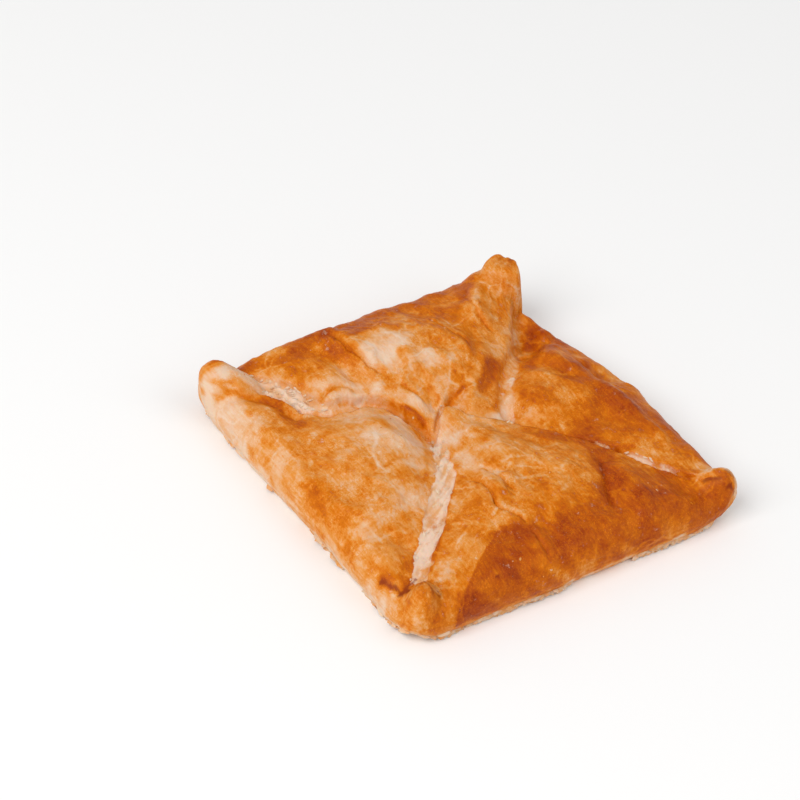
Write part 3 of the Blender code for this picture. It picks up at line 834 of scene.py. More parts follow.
# Lines, pale where the skin cracked along a fold or a layer ends, and brown (below 0) where it is pinched
# and, as painted shade, in the slot under the rolled edge: points, half width in mm and amount.
LINES = {
    # Painted shade: brown along the slot under the rolled edge, deepest in its middle.
    "slot_shade": ([(-16.2, 22), (-13.3, 16.6), (-11.2, 12.1), (-10, 8)], 0.35, -0.14),
    "slot_deep_shade": ([(-14, 17.8), (-11.6, 13), (-10.4, 9.4)], 0.6, -0.34),
    "ear_pinch": ([(-65.9, 59), (-64.6, 54.1), (-61.8, 51.4), (-57.5, 49.2)], 0.45, -0.24),
    "ear_streak": ([(-64.2, 57.4), (-61.8, 53.7), (-59, 51.9), (-56.2, 50.4)], 0.5, -0.12),
    "hook_rim": (
        [(-20.5, -43.5), (-17.8, -41.8), (-15.3, -41.9), (-11.6, -46.2), (-11.5, -50.4), (-14, -52)],
        0.5,
        0.16,
    ),
    "hook_stem": ([(-17.8, -41.8), (-17.3, -37.4), (-15.5, -33)], 0.4, 0.16),
    "apron_line": ([(-9.8, -21.1), (-8.1, -25.4), (-6, -28.8), (-2, -27.1)], 0.6, 0.20),
    "apron_line_b": ([(-3.8, -33.5), (0.6, -34.8), (5.6, -36.3)], 0.6, 0.18),
    "plateau": ([(-32.7, 7.5), (-34.5, 3.7), (-38.2, 0.4), (-40.4, -6.3), (-39.2, -10.4)], 0.5, 0.18),
    "cheek_line": ([(-60, -31.5), (-57.4, -32.5), (-51.5, -31.6), (-46, -33.6)], 0.6, 0.14),
    "star_line": ([(-3, 13), (4, 17), (9, 24)], 0.5, 0.16),
    "seam_edge": ([(-48, 53.5), (-45.5, 48), (-42.5, 42), (-39.5, 35), (-37, 31)], 0.6, 0.22),
    "far_line": ([(50, 20), (55, 4), (58, -14)], 0.7, 0.12),
}
print("baked by hand:", len(MARKS), "marks,", len(BURNS), "burns,", len(LINES), "lines")

# %% [markdown]
# ## Painting the top
#
# The toast of every point is now a sum: an even gold, slow and quick wandering, the marks and lines, some of
# which are painted shade and painted light, what blisters and layer ends add, and painted shade in the
# creases. Where the sum gets dark it is held back, because an oven browns dark crust more slowly. Char is
# kept apart from toast, since burnt sugar has a colour of its own, and so is the strength of the fine
# mottling, which the material adds later.

# %% How evenly it is baked
EVEN_GOLD = 0.46  # toast where nothing else is at work
EAR_GOLD = 0.36  # the ears are puffed thin and stay paler
DARK_ENOUGH = 0.68  # past this the oven adds less and less
# How much toast each feature adds where it is strongest. Borders of layers curl up thin and pale. The brown
# added in the creases is painted shade.
BROWNING_AND_SHADE = {"blister": 0.10, "terrace": 0.05, "border": -0.06, "crease": 0.15}

# Where the dough was stretched smooth its colour is even: two ends (x, y) and how far it fades out, in mm.
SMOOTH = {
    "roll": ((-30, 33), (-9, 9), 5.0),
    "flat_piece": ((-36, 31), (-22, 28), 4.0),
    "cheek_top": ((-24, 20), (-17, 0), 8.0),
    "left_ear": ((-67, 59), (-57, 52), 9.0),
    "middle": ((-12, 0), (2, 6), 6.0),
    "patch": ((-38, -58), (-18, -57), 9.0),
}
# How strongly crust is mottled, at these degrees of toast.
MOTTLED = {0.10: 0.40, 0.28: 0.62, 0.46: 1.0, 0.66: 0.45}
# The egg brush went along this line on the brown front edge, and left streaks beside it. Two ends (x, y), mm.
BRUSHED = [(-46, -65), (-24, -49)]
STREAK_WIDTH, STREAK_TOAST = 1.6 * MM, 0.07


# %% Toast, char and mottling
def baked(x, y, u, v, surface):
    """Toast, char and mottling for every point of the top. The height shifts the noise, or it would run down
    steep walls in stripes."""
    u, v = u + 0.8 * surface["z"], v - 0.6 * surface["z"]
    calm = np.zeros(x.shape)
    for start, end, reach in SMOOTH.values():
        away = abs(beside_line(x, y, np.array([start, end]) * MM)[0]) / (reach * MM)
        calm = np.maximum(calm, 0.7 * (1 - ramp(away - 0.4)))
    toast = EVEN_GOLD + 0.05 * rough(u, v, 26 * MM, 71, 2)
    toast += 0.065 * rough(u, v, 9 * MM, 72, 3, 0.6) * (1 - calm)
    toast += surface["ear"] * (EAR_GOLD - toast) * 0.75
    brushed = beside_line(x, y, np.array(BRUSHED) * MM)[0]
    toast += STREAK_TOAST * rough(brushed, (x + y) / 9, STREAK_WIDTH, 76, 2) * ramp((-y / MM - 42) / 6)
    waver = 0.45 * rough(u, v, 8 * MM, 73, 3)
    for name, (start, end, reach, amount) in MARKS.items():
        side = beside_line(x, y, np.array([start, end]) * MM)[0]
        away = abs(side) / (np.where(side > 0, CRISP_LEFT.get(name, reach), reach) * MM)
        toast += amount * (1 - ramp((away + waver * min(1, reach / 4) - 0.35) / 1.1))
    for points, half_width, amount in LINES.values():
        away = abs(beside_line(x, y, smooth_line(points, 3))[0]) / (half_width * MM)
        toast -= amount * (1 - ramp((away + 0.8 * waver - 0.4) / 1.2))
    for name, amount in BROWNING_AND_SHADE.items():
        toast += amount * surface[name]
    char = np.zeros(x.shape)
    smudge = 0.9 * rough(x, y, 1.2 * MM, 74, 2)
    for start, end, half_width, darkness in BURNS.values():
        away = abs(beside_line(x, y, np.array([start, end]) * MM)[0]) / (half_width * MM)
        char = np.maximum(char, darkness * (1 - ramp((away + smudge - 0.5) / 1.0)))
    freckled = 0.2 + 0.8 * ramp(1 - abs(rough(x, y, 3.2 * MM, 75, 2)) / 0.28)
    for (spot_x, spot_y), reach, darkness in FRECKLES.values():
        away = np.hypot(x - spot_x * MM, y - spot_y * MM) / (reach * MM)
        char = np.maximum(char, darkness * freckled * (1 - ramp(1.4 * away - 0.4)))
    toast = np.where(toast > DARK_ENOUGH, DARK_ENOUGH + 0.45 * (toast - DARK_ENOUGH), toast)
    return np.clip(toast, 0, 1), char, np.interp(toast, list(MOTTLED), list(MOTTLED.values())) * (1 - calm)


# %% [markdown]
# ## The top sheet, all together
#
# Now the steps above are added up. Each grid point is bent to follow the seams, rolled at the edge, raised by
# the middle, the swellings, the seams, the forms and the fine relief, and pushed sideways where an edge
# overhangs. What it is made of, such as blister, border or bare layer, is kept for the painting.


# %% Seams, swellings, forms and creases together
def shaped(x, y, flap):
    """Height of the top before the ears are raised, and what is found there: sideways push, bare and torn
    layers, creases, and which way the nearest seam runs."""
    inward = np.clip(HALF - np.maximum(abs(x), abs(y)), 0, None)
    height = FOLD_HEIGHT + MIDDLE_RISE * (1 - np.exp(-inward / MIDDLE_REACH))
    push_x, push_y, bare, layer, torn, crease = (np.zeros(x.shape) for _ in range(6))
    along_x, along_y = np.ones(x.shape), np.zeros(x.shape)
    to_seam = np.full(x.shape, np.inf)
    for seed, name in enumerate(SEAMS):
        relief = seam_relief(x, y, name, 11 + 10 * seed)
        height += relief["height"]
        push_x, push_y = push_x + relief["x"], push_y + relief["y"]
        layer = np.where(relief["bare"] > bare, relief["layer"], layer)
        bare = np.maximum(bare, relief["bare"])
        torn = np.maximum(torn, relief["torn"])
        closer = abs(relief["side"]) < to_seam
        along_x = np.where(closer, relief["along_x"], along_x)
        along_y = np.where(closer, relief["along_y"], along_y)
        to_seam = np.minimum(to_seam, abs(relief["side"]))
    swell = 1 - np.exp(-((to_seam / SWELL_REACH) ** 1.5))
    for name, amount in SWELL.items():
        height += np.where(flap == name, amount * swell, 0)
    height += MM * along_forms(x, y, FORMS, 31)
    for seed, one in enumerate(CREASES.values()):
        lifted, moved_x, moved_y, near = crease_relief(x, y, one, 41 + seed)
        height, push_x, push_y = height + lifted, push_x + moved_x, push_y + moved_y
        crease = np.maximum(crease, near)
    found = {"bare": bare, "torn": torn, "layer": layer, "crease": crease}
    return height, push_x, push_y, found | {"along_x": along_x, "along_y": along_y}


# %% Fine relief of the skin
# How high each kind stands, in mm: steps between layers of skin, blisters, soft waves and ripples, crumpled
# skin, wrinkles on the freckled spots, and the layers of bare dough.
STEP_HEIGHT, FINE_STEP_HEIGHT, BLISTER_HEIGHT = 0.24, 0.08, 0.30
WAVE_HEIGHT, RIPPLE_HEIGHT, CRUMPLE_HEIGHT = 0.80, 0.22, 0.24
WRINKLE_HEIGHT, LAYER_HEIGHT = 0.35, 0.22


def skin_relief(x, y, u, v, bare):
    """Height of the fine relief in mm, and where it has blisters, terraces and borders."""
    step, border = terraces(u, v, 17 * MM, 81)
    fine_step, fine_border = terraces(u, v, 7 * MM, 91)
    bubble = blisters(u, v, 6.5 * MM, 101, 0.3) + 0.6 * blisters(u, v, 2.8 * MM, 111, 0.35)
    crust = 1 - np.clip(bare, 0, 1)
    fine = STEP_HEIGHT * step + FINE_STEP_HEIGHT * fine_step + BLISTER_HEIGHT * bubble
    fine += WAVE_HEIGHT * rough(u, v, 15 * MM, 141, 2) + RIPPLE_HEIGHT * rough(u, v, 6 * MM, 142, 3)
    fine += CRUMPLE_HEIGHT * creased(u, v, 13 * MM, 144)
    for (spot_x, spot_y), reach, _ in FRECKLES.values():
        away = np.hypot(x - spot_x * MM, y - spot_y * MM) / (reach * MM)
        fine += WRINKLE_HEIGHT * (1 - ramp(1.6 * away - 0.6)) * creased(x, y, 4 * MM, 145, 2)
    fine = fine * crust + (1 - crust) * LAYER_HEIGHT * rough(u, v, 1.6 * MM, 143, 2)
    return fine, {"blister": bubble, "terrace": step, "border": np.maximum(border, 0.7 * fine_border)}


# %% [markdown]
# ## The sides
#
# Round the outside the fold shows the dough's layers edge on, as thin stripes, and its foot is pale and
# frayed where it met the tray. The sides are painted after the top. The same step says where flakes may
# grow: at the foot, in the torn seams and, loose, on the crust.


# %% Painting of the sides
def painted_sides(surface, x, u, v, angle, stripes):
    """Browns and pales the sides, and adds where flakes grow and which way they lie."""
    share = surface["share"]
    wall = ramp(np.cos(angle) * 1.4 - 0.2)
    surface["toast"] += 0.10 * stripes * wall * ramp((0.7 - share) / 0.4)
    frayed = share + 0.10 * rough(u, v, 8 * MM, 152, 4)
    surface["toast"] -= 0.10 * wall * ramp((0.45 - frayed) / 0.4) + 0.32 * ramp((0.26 - frayed) / 0.15)
    at_side = abs(u) > abs(v)
    in_wall = share < 0.9
    surface["torn"] = surface["torn"] * (share > 0.9)
    frayed_side = np.where(at_side, 0.2, 1.0) * ramp(0.5 + 1.6 * hills(u, v, 12 * MM, 153))
    frayed_side *= 1 + 0.8 * (v < 0) * ramp((-x / MM - 10) / 25)
    surface["foot"] = ramp((0.18 - share) / 0.08) * frayed_side
    surface["loose"] = (share > 0.7) * ramp(1.5 * hills(u, v, 16 * MM, 154)) ** 2
    surface["along_x"] = np.where(in_wall, np.where(at_side, 0, np.sign(-v)), surface["along_x"])
    surface["along_y"] = np.where(in_wall, np.where(at_side, np.sign(u), 0), surface["along_y"])
    return surface


# %% Relief of the top
SIDE_LAYER_HEIGHT, SIDE_STRIPE_HEIGHT = 0.22, 0.14  # in mm, like the fine relief
OUTWARD = 0.6 * MM  # the fine relief is weaker on the sides, so that they stay crisp


def top_surface(a, b):
    """Every point of the top sheet: its place and what it is made of."""
    u, v, flap = flat_sheet(a, b)
    largest = np.maximum(np.maximum(abs(u), abs(v)), 1e-9)
    inset, share, angle = fold_profile(SHEET_HALF - largest)
    scale = (HALF - inset) / largest
    x, y = outlined(u * scale, v * scale)
    height, push_x, push_y, surface = shaped(x, y, flap)
    lean_x, lean_y, height, on_ear = with_ears(x, y, height, share)
    surface |= {"ear": on_ear, "share": share}
    for name in ("bare", "torn"):
        surface[name] = surface[name] * (1 - on_ear)
    fine, kinds = skin_relief(x, y, u, v, surface["bare"])
    surface |= kinds
    out_x, out_y = np.sign(u) * (abs(u) / largest) ** 9, np.sign(v) * (abs(v) / largest) ** 9
    length = np.maximum(np.hypot(out_x, out_y), 1e-9)
    out_x, out_y = out_x / length * np.cos(angle), out_y / length * np.cos(angle)
    stripes = rough((u + v) / 6, 22 * MM * share, 1.8 * MM, 155, 2)
    side_layers = SIDE_LAYER_HEIGHT * rough(u + v, largest * 9, 9 * MM, 151, 3) + SIDE_STRIPE_HEIGHT * stripes
    outward = OUTWARD * (fine + side_layers * np.cos(angle))
    surface["x"] = x + push_x * share + lean_x + outward * out_x
    surface["y"] = y + push_y * share + lean_y + outward * out_y
    surface["z"] = height * share + corner_lift(x, y) + MM * fine * np.clip(np.sin(angle), 0, 1)
    surface["toast"], surface["char"], surface["mottled"] = baked(x, y, u, v, surface)
    return painted_sides(surface, x, u, v, angle, stripes)


# %% [markdown]
# ## The base sheet
#
# The underside lay on the tray. It is flat and evenly baked, a shade browner in the middle, with shallow
# pits where steam was trapped. It never sinks below the surface that the pastry stands on, so its relief
# only goes up.


# %% Relief of the base
PAINTED = ("toast", "char", "mottled", "bare", "layer", "torn", "foot", "loose")
BASE_TOAST, BASE_RIM_PALER, BASE_PIT_PALER, BASE_MOTTLED = 0.60, 0.22, 0.25, 0.7
PIT_WIDTH, PIT_DEPTH, PIT_SHARE = 7 * MM, 0.5 * MM, 0.5


def base_surface(a, b):
    """Every point of the base sheet: its place and how it is baked."""
    inset, _, _ = fold_profile(0)
    reach = HALF - inset - BASE_GAP
    x, y = outlined(a * reach, b * reach)
    pits = blisters(x, y, PIT_WIDTH, 201, PIT_SHARE)
    edge = np.maximum(abs(a), abs(b))
    lift = corner_lift(x, y) + PIT_DEPTH * pits * ramp((1 - edge) * 12)
    toast = BASE_TOAST + 0.08 * rough(x, y, 18 * MM, 202, 4)
    toast -= BASE_RIM_PALER * ramp((edge - 0.86) / 0.14) + BASE_PIT_PALER * pits
    surface = {name: np.zeros(x.shape) for name in (*PAINTED, "along_x", "along_y")}
    surface["mottled"] += BASE_MOTTLED
    return surface | {"x": x, "y": y, "z": lift, "toast": np.clip(toast, 0, 1)}


# %% [markdown]
# ## From arrays to one closed mesh
#
# Both sheets are grids, so their points can be numbered row by row, and each small square is cut into two
# triangles along the seams' diagonals. The open rims are then joined by a bridge, which closes the pastry all
# round under its fold.


# %% Mesh of the pastry
def triangles_of(columns, rows):
    """Corner numbers of a grid's triangles. Their shared sides point from the middle to the corners."""
    i, j = np.meshgrid(np.arange(columns), np.arange(rows))
    first = (j * (columns + 1) + i).ravel()
    corners = np.stack([first, first + 1, first + columns + 2, first + columns + 1], 1)
    rising = ((i + 0.5 - columns / 2) * (j + 0.5 - rows / 2) > 0).ravel()
    up, down = corners[rising], corners[~rising]
    halves = [up[:, [0, 1, 2]], up[:, [0, 2, 3]], down[:, [0, 1, 3]], down[:, [1, 2, 3]]]
    return np.concatenate(halves)


def grid_of(columns, rows, width):
    """The places of a plain grid's points, from -width to width across and from -1 to 1 along."""
    a, b = np.meshgrid(np.linspace(-width, width, columns + 1), np.linspace(-1, 1, rows + 1))
    return a.ravel(), b.ravel()


def rim_edges(mesh, count_from, count_to):
    """The open edges between points of these numbers."""
    return [e for e in mesh.edges if e.is_boundary and count_from <= e.verts[0].index < count_to]


top_columns = TOP_ROWS + SHARED_COLUMNS
top = top_surface(*grid_of(top_columns, TOP_ROWS, 1 + SHARED))
base = base_surface(*grid_of(BASE_CUTS, BASE_CUTS, 1))
top_count, base_count = len(top["x"]), len(base["x"])
top["z"] = np.clip(top["z"], 0, None)

places = np.concatenate([np.stack([sheet[axis] for axis in "xyz"], 1) for sheet in (top, base)])
base_faces = triangles_of(BASE_CUTS, BASE_CUTS)[:, ::-1] + top_count
faces = np.concatenate([triangles_of(top_columns, TOP_ROWS), base_faces])
pastry_mesh = bpy.data.meshes.new("khachapuri_crust")
pastry_mesh.from_pydata(places.tolist(), [], faces.tolist())
work = bmesh.new()
work.from_mesh(pastry_mesh)
work.verts.ensure_lookup_table()
rims = rim_edges(work, 0, top_count) + rim_edges(work, top_count, top_count + base_count)
bmesh.ops.bridge_loops(work, edges=rims)
bmesh.ops.triangulate(work, faces=work.faces[:])
bmesh.ops.recalc_face_normals(work, faces=work.faces[:])
work.to_mesh(pastry_mesh)
open_edges = sum(e.is_boundary for e in work.edges)
work.free()
pastry_mesh.shade_smooth()
for name in PAINTED:
    values = np.concatenate([top[name], base[name]]).astype(np.float32)
    pastry_mesh.attributes.new(name, "FLOAT", "POINT").data.foreach_set("value", values)
along = np.zeros((top_count + base_count, 3), np.float32)
for axis, name in enumerate(("along_x", "along_y")):
    along[:, axis] = np.concatenate([top[name], base[name]])
pastry_mesh.attributes.new("along", "FLOAT_VECTOR", "POINT").data.foreach_set("vector", along.ravel())
pastry = bpy.data.objects.new("khachapuri_crust", pastry_mesh)
bpy.context.scene.collection.objects.link(pastry)
print("pastry:", len(pastry_mesh.polygons), "triangles,", open_edges, "open edges")

# %% [markdown]
# ## The crust's colours
#
# Baked puff pastry is a brown sugar and protein film over pale starch, brushed with egg before baking. The
# film's colour runs from cream through peach, gold and amber to a red brown, and it never stays even for
# more than a few millimetres. So the toast that was worked out for each point only says where the crust is
# brown. Finer patterns are added to it in the material, each as wide as the thing it stands for, and a
# colour ramp turns the sum into the film's colour.
#
# In the node recipes below, a Map Range node's inputs are numbered: 0 is the value, 1 and 2 are the range
# it comes from, and 3 and 4 the range it goes to. A Math node works on its inputs 0, 1 and 2.

# %% Colours and widths of the crust
CREAM, PEACH, HONEY, GOLD = "E2C3A8", "DFAB7E", "DC9040", "D27308"
AMBER, RUSSET, UMBER, BURNT = "BA5A08", "9F400C", "6A2808", "84300E"
TOASTED = {0.0: CREAM, 0.20: PEACH, 0.36: HONEY, 0.52: GOLD, 0.68: AMBER, 0.84: RUSSET, 1.0: UMBER}
DOUGH_SHADE, DOUGH = "DEA673", "E9CFB8"

# How wide the shapes of each pattern are, in mm.
CLOUDS, SKINS, STROKES, STROKE_STRETCH = 3.333, 7.143, 0.909, 10
PLATES, PLATE_SWERVE, PLATE_BENDS, CRACKED_AREAS = 11.11, 7.0, 6.25, 13.33
THREADS, PORES, GLINTS, SKIN_GRAIN = 1.923, 1.111, 0.6667, 0.7143

# How much browner (above 0) or paler each pattern makes the crust at most. The last one makes painted
# glints, pale dots on brown crust.
PEELED, STROKE, CRACK, THREAD, PORE, GLINT = 0.055, 0.06, -0.17, -0.13, 0.06, -0.14
STROKE_ANGLE = 0.62  # which way the brush went, in radians
print("toast:", ", ".join(f"{toast} {code}" for toast, code in TOASTED.items()))


# %% Mottled skin
def mottled_skin(tree, place, painted):
    """Toast with its mottling and its brush strokes, and the clouds, also as a value around 0."""
    # Mottling: clouds of a few millimetres with detail down to a few tenths.
    cloudy = {"Vector": place, "Scale": per_width(CLOUDS), "Detail": 8, "Roughness": 0.78}
    clouds = add(tree, "ShaderNodeTexNoise", cloudy)
    spread = add(tree, "ShaderNodeMath", {0: clouds, 1: 0.5}, operation="SUBTRACT")
    # Skins: the outermost layer, thinner than paper, has flaked off in patches with ragged borders.
    flaky = {"Vector": place, "Scale": per_width(SKINS), "Detail": 9, "Roughness": 0.66}
    skins = add(tree, "ShaderNodeTexNoise", flaky)
    peeled = add(tree, "ShaderNodeMapRange", {0: skins, 1: 0.42, 2: 0.58, 3: -PEELED, 4: PEELED})
    patchy = add(tree, "ShaderNodeMath", {0: spread, 1: peeled}, operation="ADD")
    # Brown and cream crust are more even than golden crust, and so is dough that was stretched smooth.
    amounts = {0: patchy, 1: painted["mottled"], 2: painted["toast"]}
    flaked = add(tree, "ShaderNodeMath", amounts, operation="MULTIPLY_ADD")
    # Brush strokes: the egg wash was drawn on with a brush and dried in fine parallel streaks.
    brush = {"Vector": place, "Rotation": (0, 0, STROKE_ANGLE), "Scale": (1, 1 / STROKE_STRETCH, 1)}
    drawn = add(tree, "ShaderNodeMapping", brush)
    strokes = add(tree, "ShaderNodeTexNoise", {"Vector": drawn, "Scale": per_width(STROKES), "Detail": 3})
    stroke = add(tree, "ShaderNodeMapRange", {0: strokes, 1: 0.3, 2: 0.7, 3: -STROKE, 4: STROKE})
    return add(tree, "ShaderNodeMath", {0: flaked, 1: stroke}, operation="ADD"), clouds, spread


# %% [markdown]
# ## Cracks, threads and pores
#
# Where the skin stretched, it split into plates a centimetre wide, and paler dough shows in the branching
# lines between them. A Voronoi pattern's distance to the edge of its cells gives such lines, and a noise
# that shifts the coordinates first keeps them from being straight. Elsewhere the skin has crinkled into a
# fine pale network: that is where a noise crosses its middle value. Pores, and the painted glints on brown
# crust, are the dots in the middle of small Voronoi cells.


# %% Cracked skin
def cracked_skin(tree, place, brushed):
    """Toast with cracks and threads, and the cracks alone, from 0 to 1."""
    bends = add(tree, "ShaderNodeTexNoise", {"Vector": place, "Scale": per_width(PLATE_BENDS), "Detail": 4})
    shifted = {0: bends.outputs["Color"], 1: (PLATE_SWERVE * MM,) * 3, 2: place}
    bent = add(tree, "ShaderNodeVectorMath", shifted, operation="MULTIPLY_ADD")
    plates = {"Vector": bent, "Scale": per_width(PLATES)}
    edges = add(tree, "ShaderNodeTexVoronoi", plates, feature="DISTANCE_TO_EDGE")
    line = add(tree, "ShaderNodeMapRange", {0: edges, 1: 0.0, 2: 0.07, 3: 1.0, 4: 0.0})
    areas = add(tree, "ShaderNodeTexNoise", {"Vector": place, "Scale": per_width(CRACKED_AREAS), "Detail": 3})
    present = add(tree, "ShaderNodeMapRange", {0: areas, 1: 0.48, 2: 0.62, 3: 0.0, 4: 1.0})
    crack = add(tree, "ShaderNodeMath", {0: line, 1: present}, operation="MULTIPLY")
    cracked = add(tree, "ShaderNodeMath", {0: crack, 1: CRACK, 2: brushed}, operation="MULTIPLY_ADD")
    curled = {"Vector": bent, "Scale": per_width(THREADS), "Detail": 2, "Distortion": 0.6}
    curls = add(tree, "ShaderNodeTexNoise", curled)
    off_middle = add(tree, "ShaderNodeMath", {0: curls, 1: 0.5}, operation="SUBTRACT")
    off_by = add(tree, "ShaderNodeMath", {0: off_middle}, operation="ABSOLUTE")
    thread = add(tree, "ShaderNodeMapRange", {0: off_by, 1: 0.0, 2: 0.035, 3: THREAD, 4: 0.0})
    crinkled = add(tree, "ShaderNodeMapRange", {0: areas, 1: 0.56, 2: 0.44, 3: 0.0, 4: 1.0})
    threaded = add(tree, "ShaderNodeMath", {0: thread, 1: crinkled, 2: cracked}, operation="MULTIPLY_ADD")
    return threaded, crack


# %% Dotted skin
def dotted_skin(tree, place, toast, threaded):
    """Toast with darker pores, and with painted glints, pale dots where the crust is brown."""
    pores = add(tree, "ShaderNodeTexVoronoi", {"Vector": place, "Scale": per_width(PORES)})
    dots = add(tree, "ShaderNodeMapRange", {0: pores, 1: 0.10, 2: 0.30, 3: PORE, 4: 0.0})
    dotted = add(tree, "ShaderNodeMath", {0: threaded, 1: dots}, operation="ADD")
    # Painted glints: pale dots where the crust is brown.
    glint_cells = add(tree, "ShaderNodeTexVoronoi", {"Vector": place, "Scale": per_width(GLINTS)})
    glint_dots = add(tree, "ShaderNodeMapRange", {0: glint_cells, 1: 0.12, 2: 0.32, 3: GLINT, 4: 0.0})
    browned = add(tree, "ShaderNodeMapRange", {0: toast, 1: 0.48, 2: 0.72, 3: 0.0, 4: 1.0})
    glint = add(tree, "ShaderNodeMath", {0: glint_dots, 1: browned}, operation="MULTIPLY")
    return add(tree, "ShaderNodeMath", {0: dotted, 1: glint}, operation="ADD")


# %% [markdown]
# ## The whole material
#
# Egg wash makes the crust a little glossy, and light goes in a short way, which softens small shadows.
# Where the dough is bare it is matt and cream, in layers a few tenths of a millimetre thick: their streaks
# were worked out along the seams. Crust and bare dough meet along a ragged line, because the clouds thin
# out the bareness. What is too fine for the mesh, such as grain, peeled steps and the ridges along cracks,
# is drawn as bump.


# %% Bare layers
def bare_layers(tree, painted, spread):
    """The colour of bare dough, and how bare it is."""
    streaked = {0: spread, 1: 1.6, 2: painted["layer"]}
    streaks = add(tree, "ShaderNodeMath", streaked, operation="MULTIPLY_ADD")
    level = add(tree, "ShaderNodeMapRange", {0: streaks, 1: -1.0, 2: 0.8, 3: 0.0, 4: 1.0})
    dough = add(tree, "ShaderNodeValToRGB", {0: level})
    for stop, position, code in zip(dough.color_ramp.elements, (0.15, 0.75), (DOUGH_SHADE, DOUGH)):
        stop.position = position
        stop.color = linear(code)
    torn = add(tree, "ShaderNodeMath", {0: spread, 1: 2.6, 2: painted["bare"]}, operation="MULTIPLY_ADD")
    return dough, add(tree, "ShaderNodeMapRange", {0: torn, 1: 0.25, 2: 0.75, 3: 0.0, 4: 0.9})


# %% Baked crust
def baked_crust():
    """Egg-washed laminated dough, baked: mottled gold, glossy, with bare cream layers where it is cut."""
    material, tree, shader, place = new_material("laminated_dough_baked_with_egg_wash")
    painted = {
        name: add(tree, "ShaderNodeAttribute", attribute_name=name).outputs["Fac"]
        for name in ("toast", "bare", "char", "mottled", "layer")
    }
    brushed, clouds, spread = mottled_skin(tree, place, painted)
    threaded, crack = cracked_skin(tree, place, brushed)
    pored_and_glinting = dotted_skin(tree, place, painted["toast"], threaded)
    dough, bareness = bare_layers(tree, painted, spread)

    colours = add(tree, "ShaderNodeValToRGB", {0: pored_and_glinting})
    stops = colours.color_ramp.elements
    for toast, code in list(TOASTED.items())[1:-1]:
        stops.new(toast).color = linear(code)
    stops[0].color, stops[-1].color = linear(CREAM), linear(UMBER)
    flesh = add(tree, "ShaderNodeMix", {"Factor": bareness, 6: colours, 7: dough}, data_type="RGBA")
    charred = {"Factor": painted["char"], 6: flesh.outputs[2], 7: linear(BURNT)}
    burnt = add(tree, "ShaderNodeMix", charred, data_type="RGBA")
    tree.links.new(burnt.outputs[2], shader.inputs["Base Color"])

    gloss = add(tree, "ShaderNodeMapRange", {0: bareness, 1: 0.0, 2: 0.9, 3: 0.40, 4: 0.75})
    uneven = add(tree, "ShaderNodeMath", {0: spread, 1: 0.25, 2: gloss}, operation="MULTIPLY_ADD")
    tree.links.new(uneven.outputs[0], shader.inputs["Roughness"])
    shader.inputs["IOR"].default_value = 1.45
    shader.inputs["Specular IOR Level"].default_value = 0.10
    shader.inputs["Subsurface Weight"].default_value = 0.22
    shader.inputs["Subsurface Radius"].default_value = (1.0, 0.45, 0.2)
    shader.inputs["Subsurface Scale"].default_value = 1.6 * MM

    fine = {"Vector": place, "Scale": per_width(SKIN_GRAIN), "Detail": 5, "Roughness": 0.6}
    grain = add(tree, "ShaderNodeTexNoise", fine)
    both = add(tree, "ShaderNodeMath", {0: clouds, 1: 3.0, 2: grain}, operation="MULTIPLY_ADD")
    raised = add(tree, "ShaderNodeMath", {0: crack, 1: 0.6, 2: both}, operation="MULTIPLY_ADD")
    bump = add(tree, "ShaderNodeBump", {"Strength": 0.20, "Distance": 0.3 * MM, "Height": raised})
    tree.links.new(bump.outputs["Normal"], shader.inputs["Normal"])
    return material


crust_material = baked_crust()
pastry_mesh.materials.append(crust_material)
print("material:", crust_material.name, len(crust_material.node_tree.nodes), "nodes")

# %% [markdown]
# ## Shapes to scatter
#
# Puff pastry sheds: torn layers stand up along the cut edges, the foot ends in a frayed hem, and scraps of
# skin lie on the crust. All are the same two things, a thin torn plate and a crumb. Each is modelled once
# or a few times, one unit large, with a few dozen faces, because it is going to be repeated hundreds of
# times.


# %% Plates and crumbs
def torn_plate(name, seed, corners=9):
    """A thin plate with a ragged outline, domed along its length, closed all round."""
    turn = 2 * math.pi * np.arange(corners) / corners
    reach = 0.5 * (1 + 0.28 * (2 * hashed(np.arange(corners), 0, seed) - 1))
    x, y = reach * np.cos(turn), reach * np.sin(turn)
    bend = 0.9 * (0.25 - x**2) + 0.5 * y * (2 * hashed(seed, 1, 7) - 1)
    upper = np.stack([x, y, bend + 0.5], 1)
    lower = np.stack([x, y, bend - 0.5], 1)
    middle = [[0, 0, 0.85], [0, 0, -0.15]]
    points = np.concatenate([upper, lower, middle])
    faces = []
    for k in range(corners):
        after = (k + 1) % corners
        faces.append((k, after, 2 * corners))
        faces.append((corners + after, corners + k, 2 * corners + 1))
        faces.append((corners + k, corners + after, after, k))
    mesh = bpy.data.meshes.new(name)
    mesh.from_pydata(points.tolist(), [], faces)
    return bpy.data.objects.new(name, mesh)


def crumb(name, seed):
    """A lumpy ball of twenty faces."""
    work = bmesh.new()
    bmesh.ops.create_icosphere(work, subdivisions=1, radius=0.5)
    for k, vert in enumerate(work.verts):
        vert.co *= 0.75 + 0.5 * hashed(k, 2, seed)
    mesh = bpy.data.meshes.new(name)
    work.to_mesh(mesh)
    work.free()
    return bpy.data.objects.new(name, mesh)


def kept_aside(name, shapes):
    """A collection that holds the shapes without showing them."""
    box = bpy.data.collections.new(name)
    for shape in shapes:
        box.objects.link(shape)
    return box


plates = kept_aside("plates", [torn_plate(f"plate_{k}", 21 + k) for k in range(4)])
torn_scraps = [torn_plate(f"scrap_{k}", 31 + k, 7) for k in range(3)]
scraps = kept_aside("scraps", [*torn_scraps, crumb("crumb_0", 41)])

# %% [markdown]
# ## One node group that scatters them
#
# A group of geometry nodes drops points on the crust, as densely as a painted attribute says. At each
# point it places one of the shapes, lined up with the seam or the foot, then tips it over and turns it by
# chance. It also gives each one its own degree of baking, which the crust's material reads. Realize
# Instances turns them into plain mesh at the end. The same group makes all three pieces below, with other
# values.


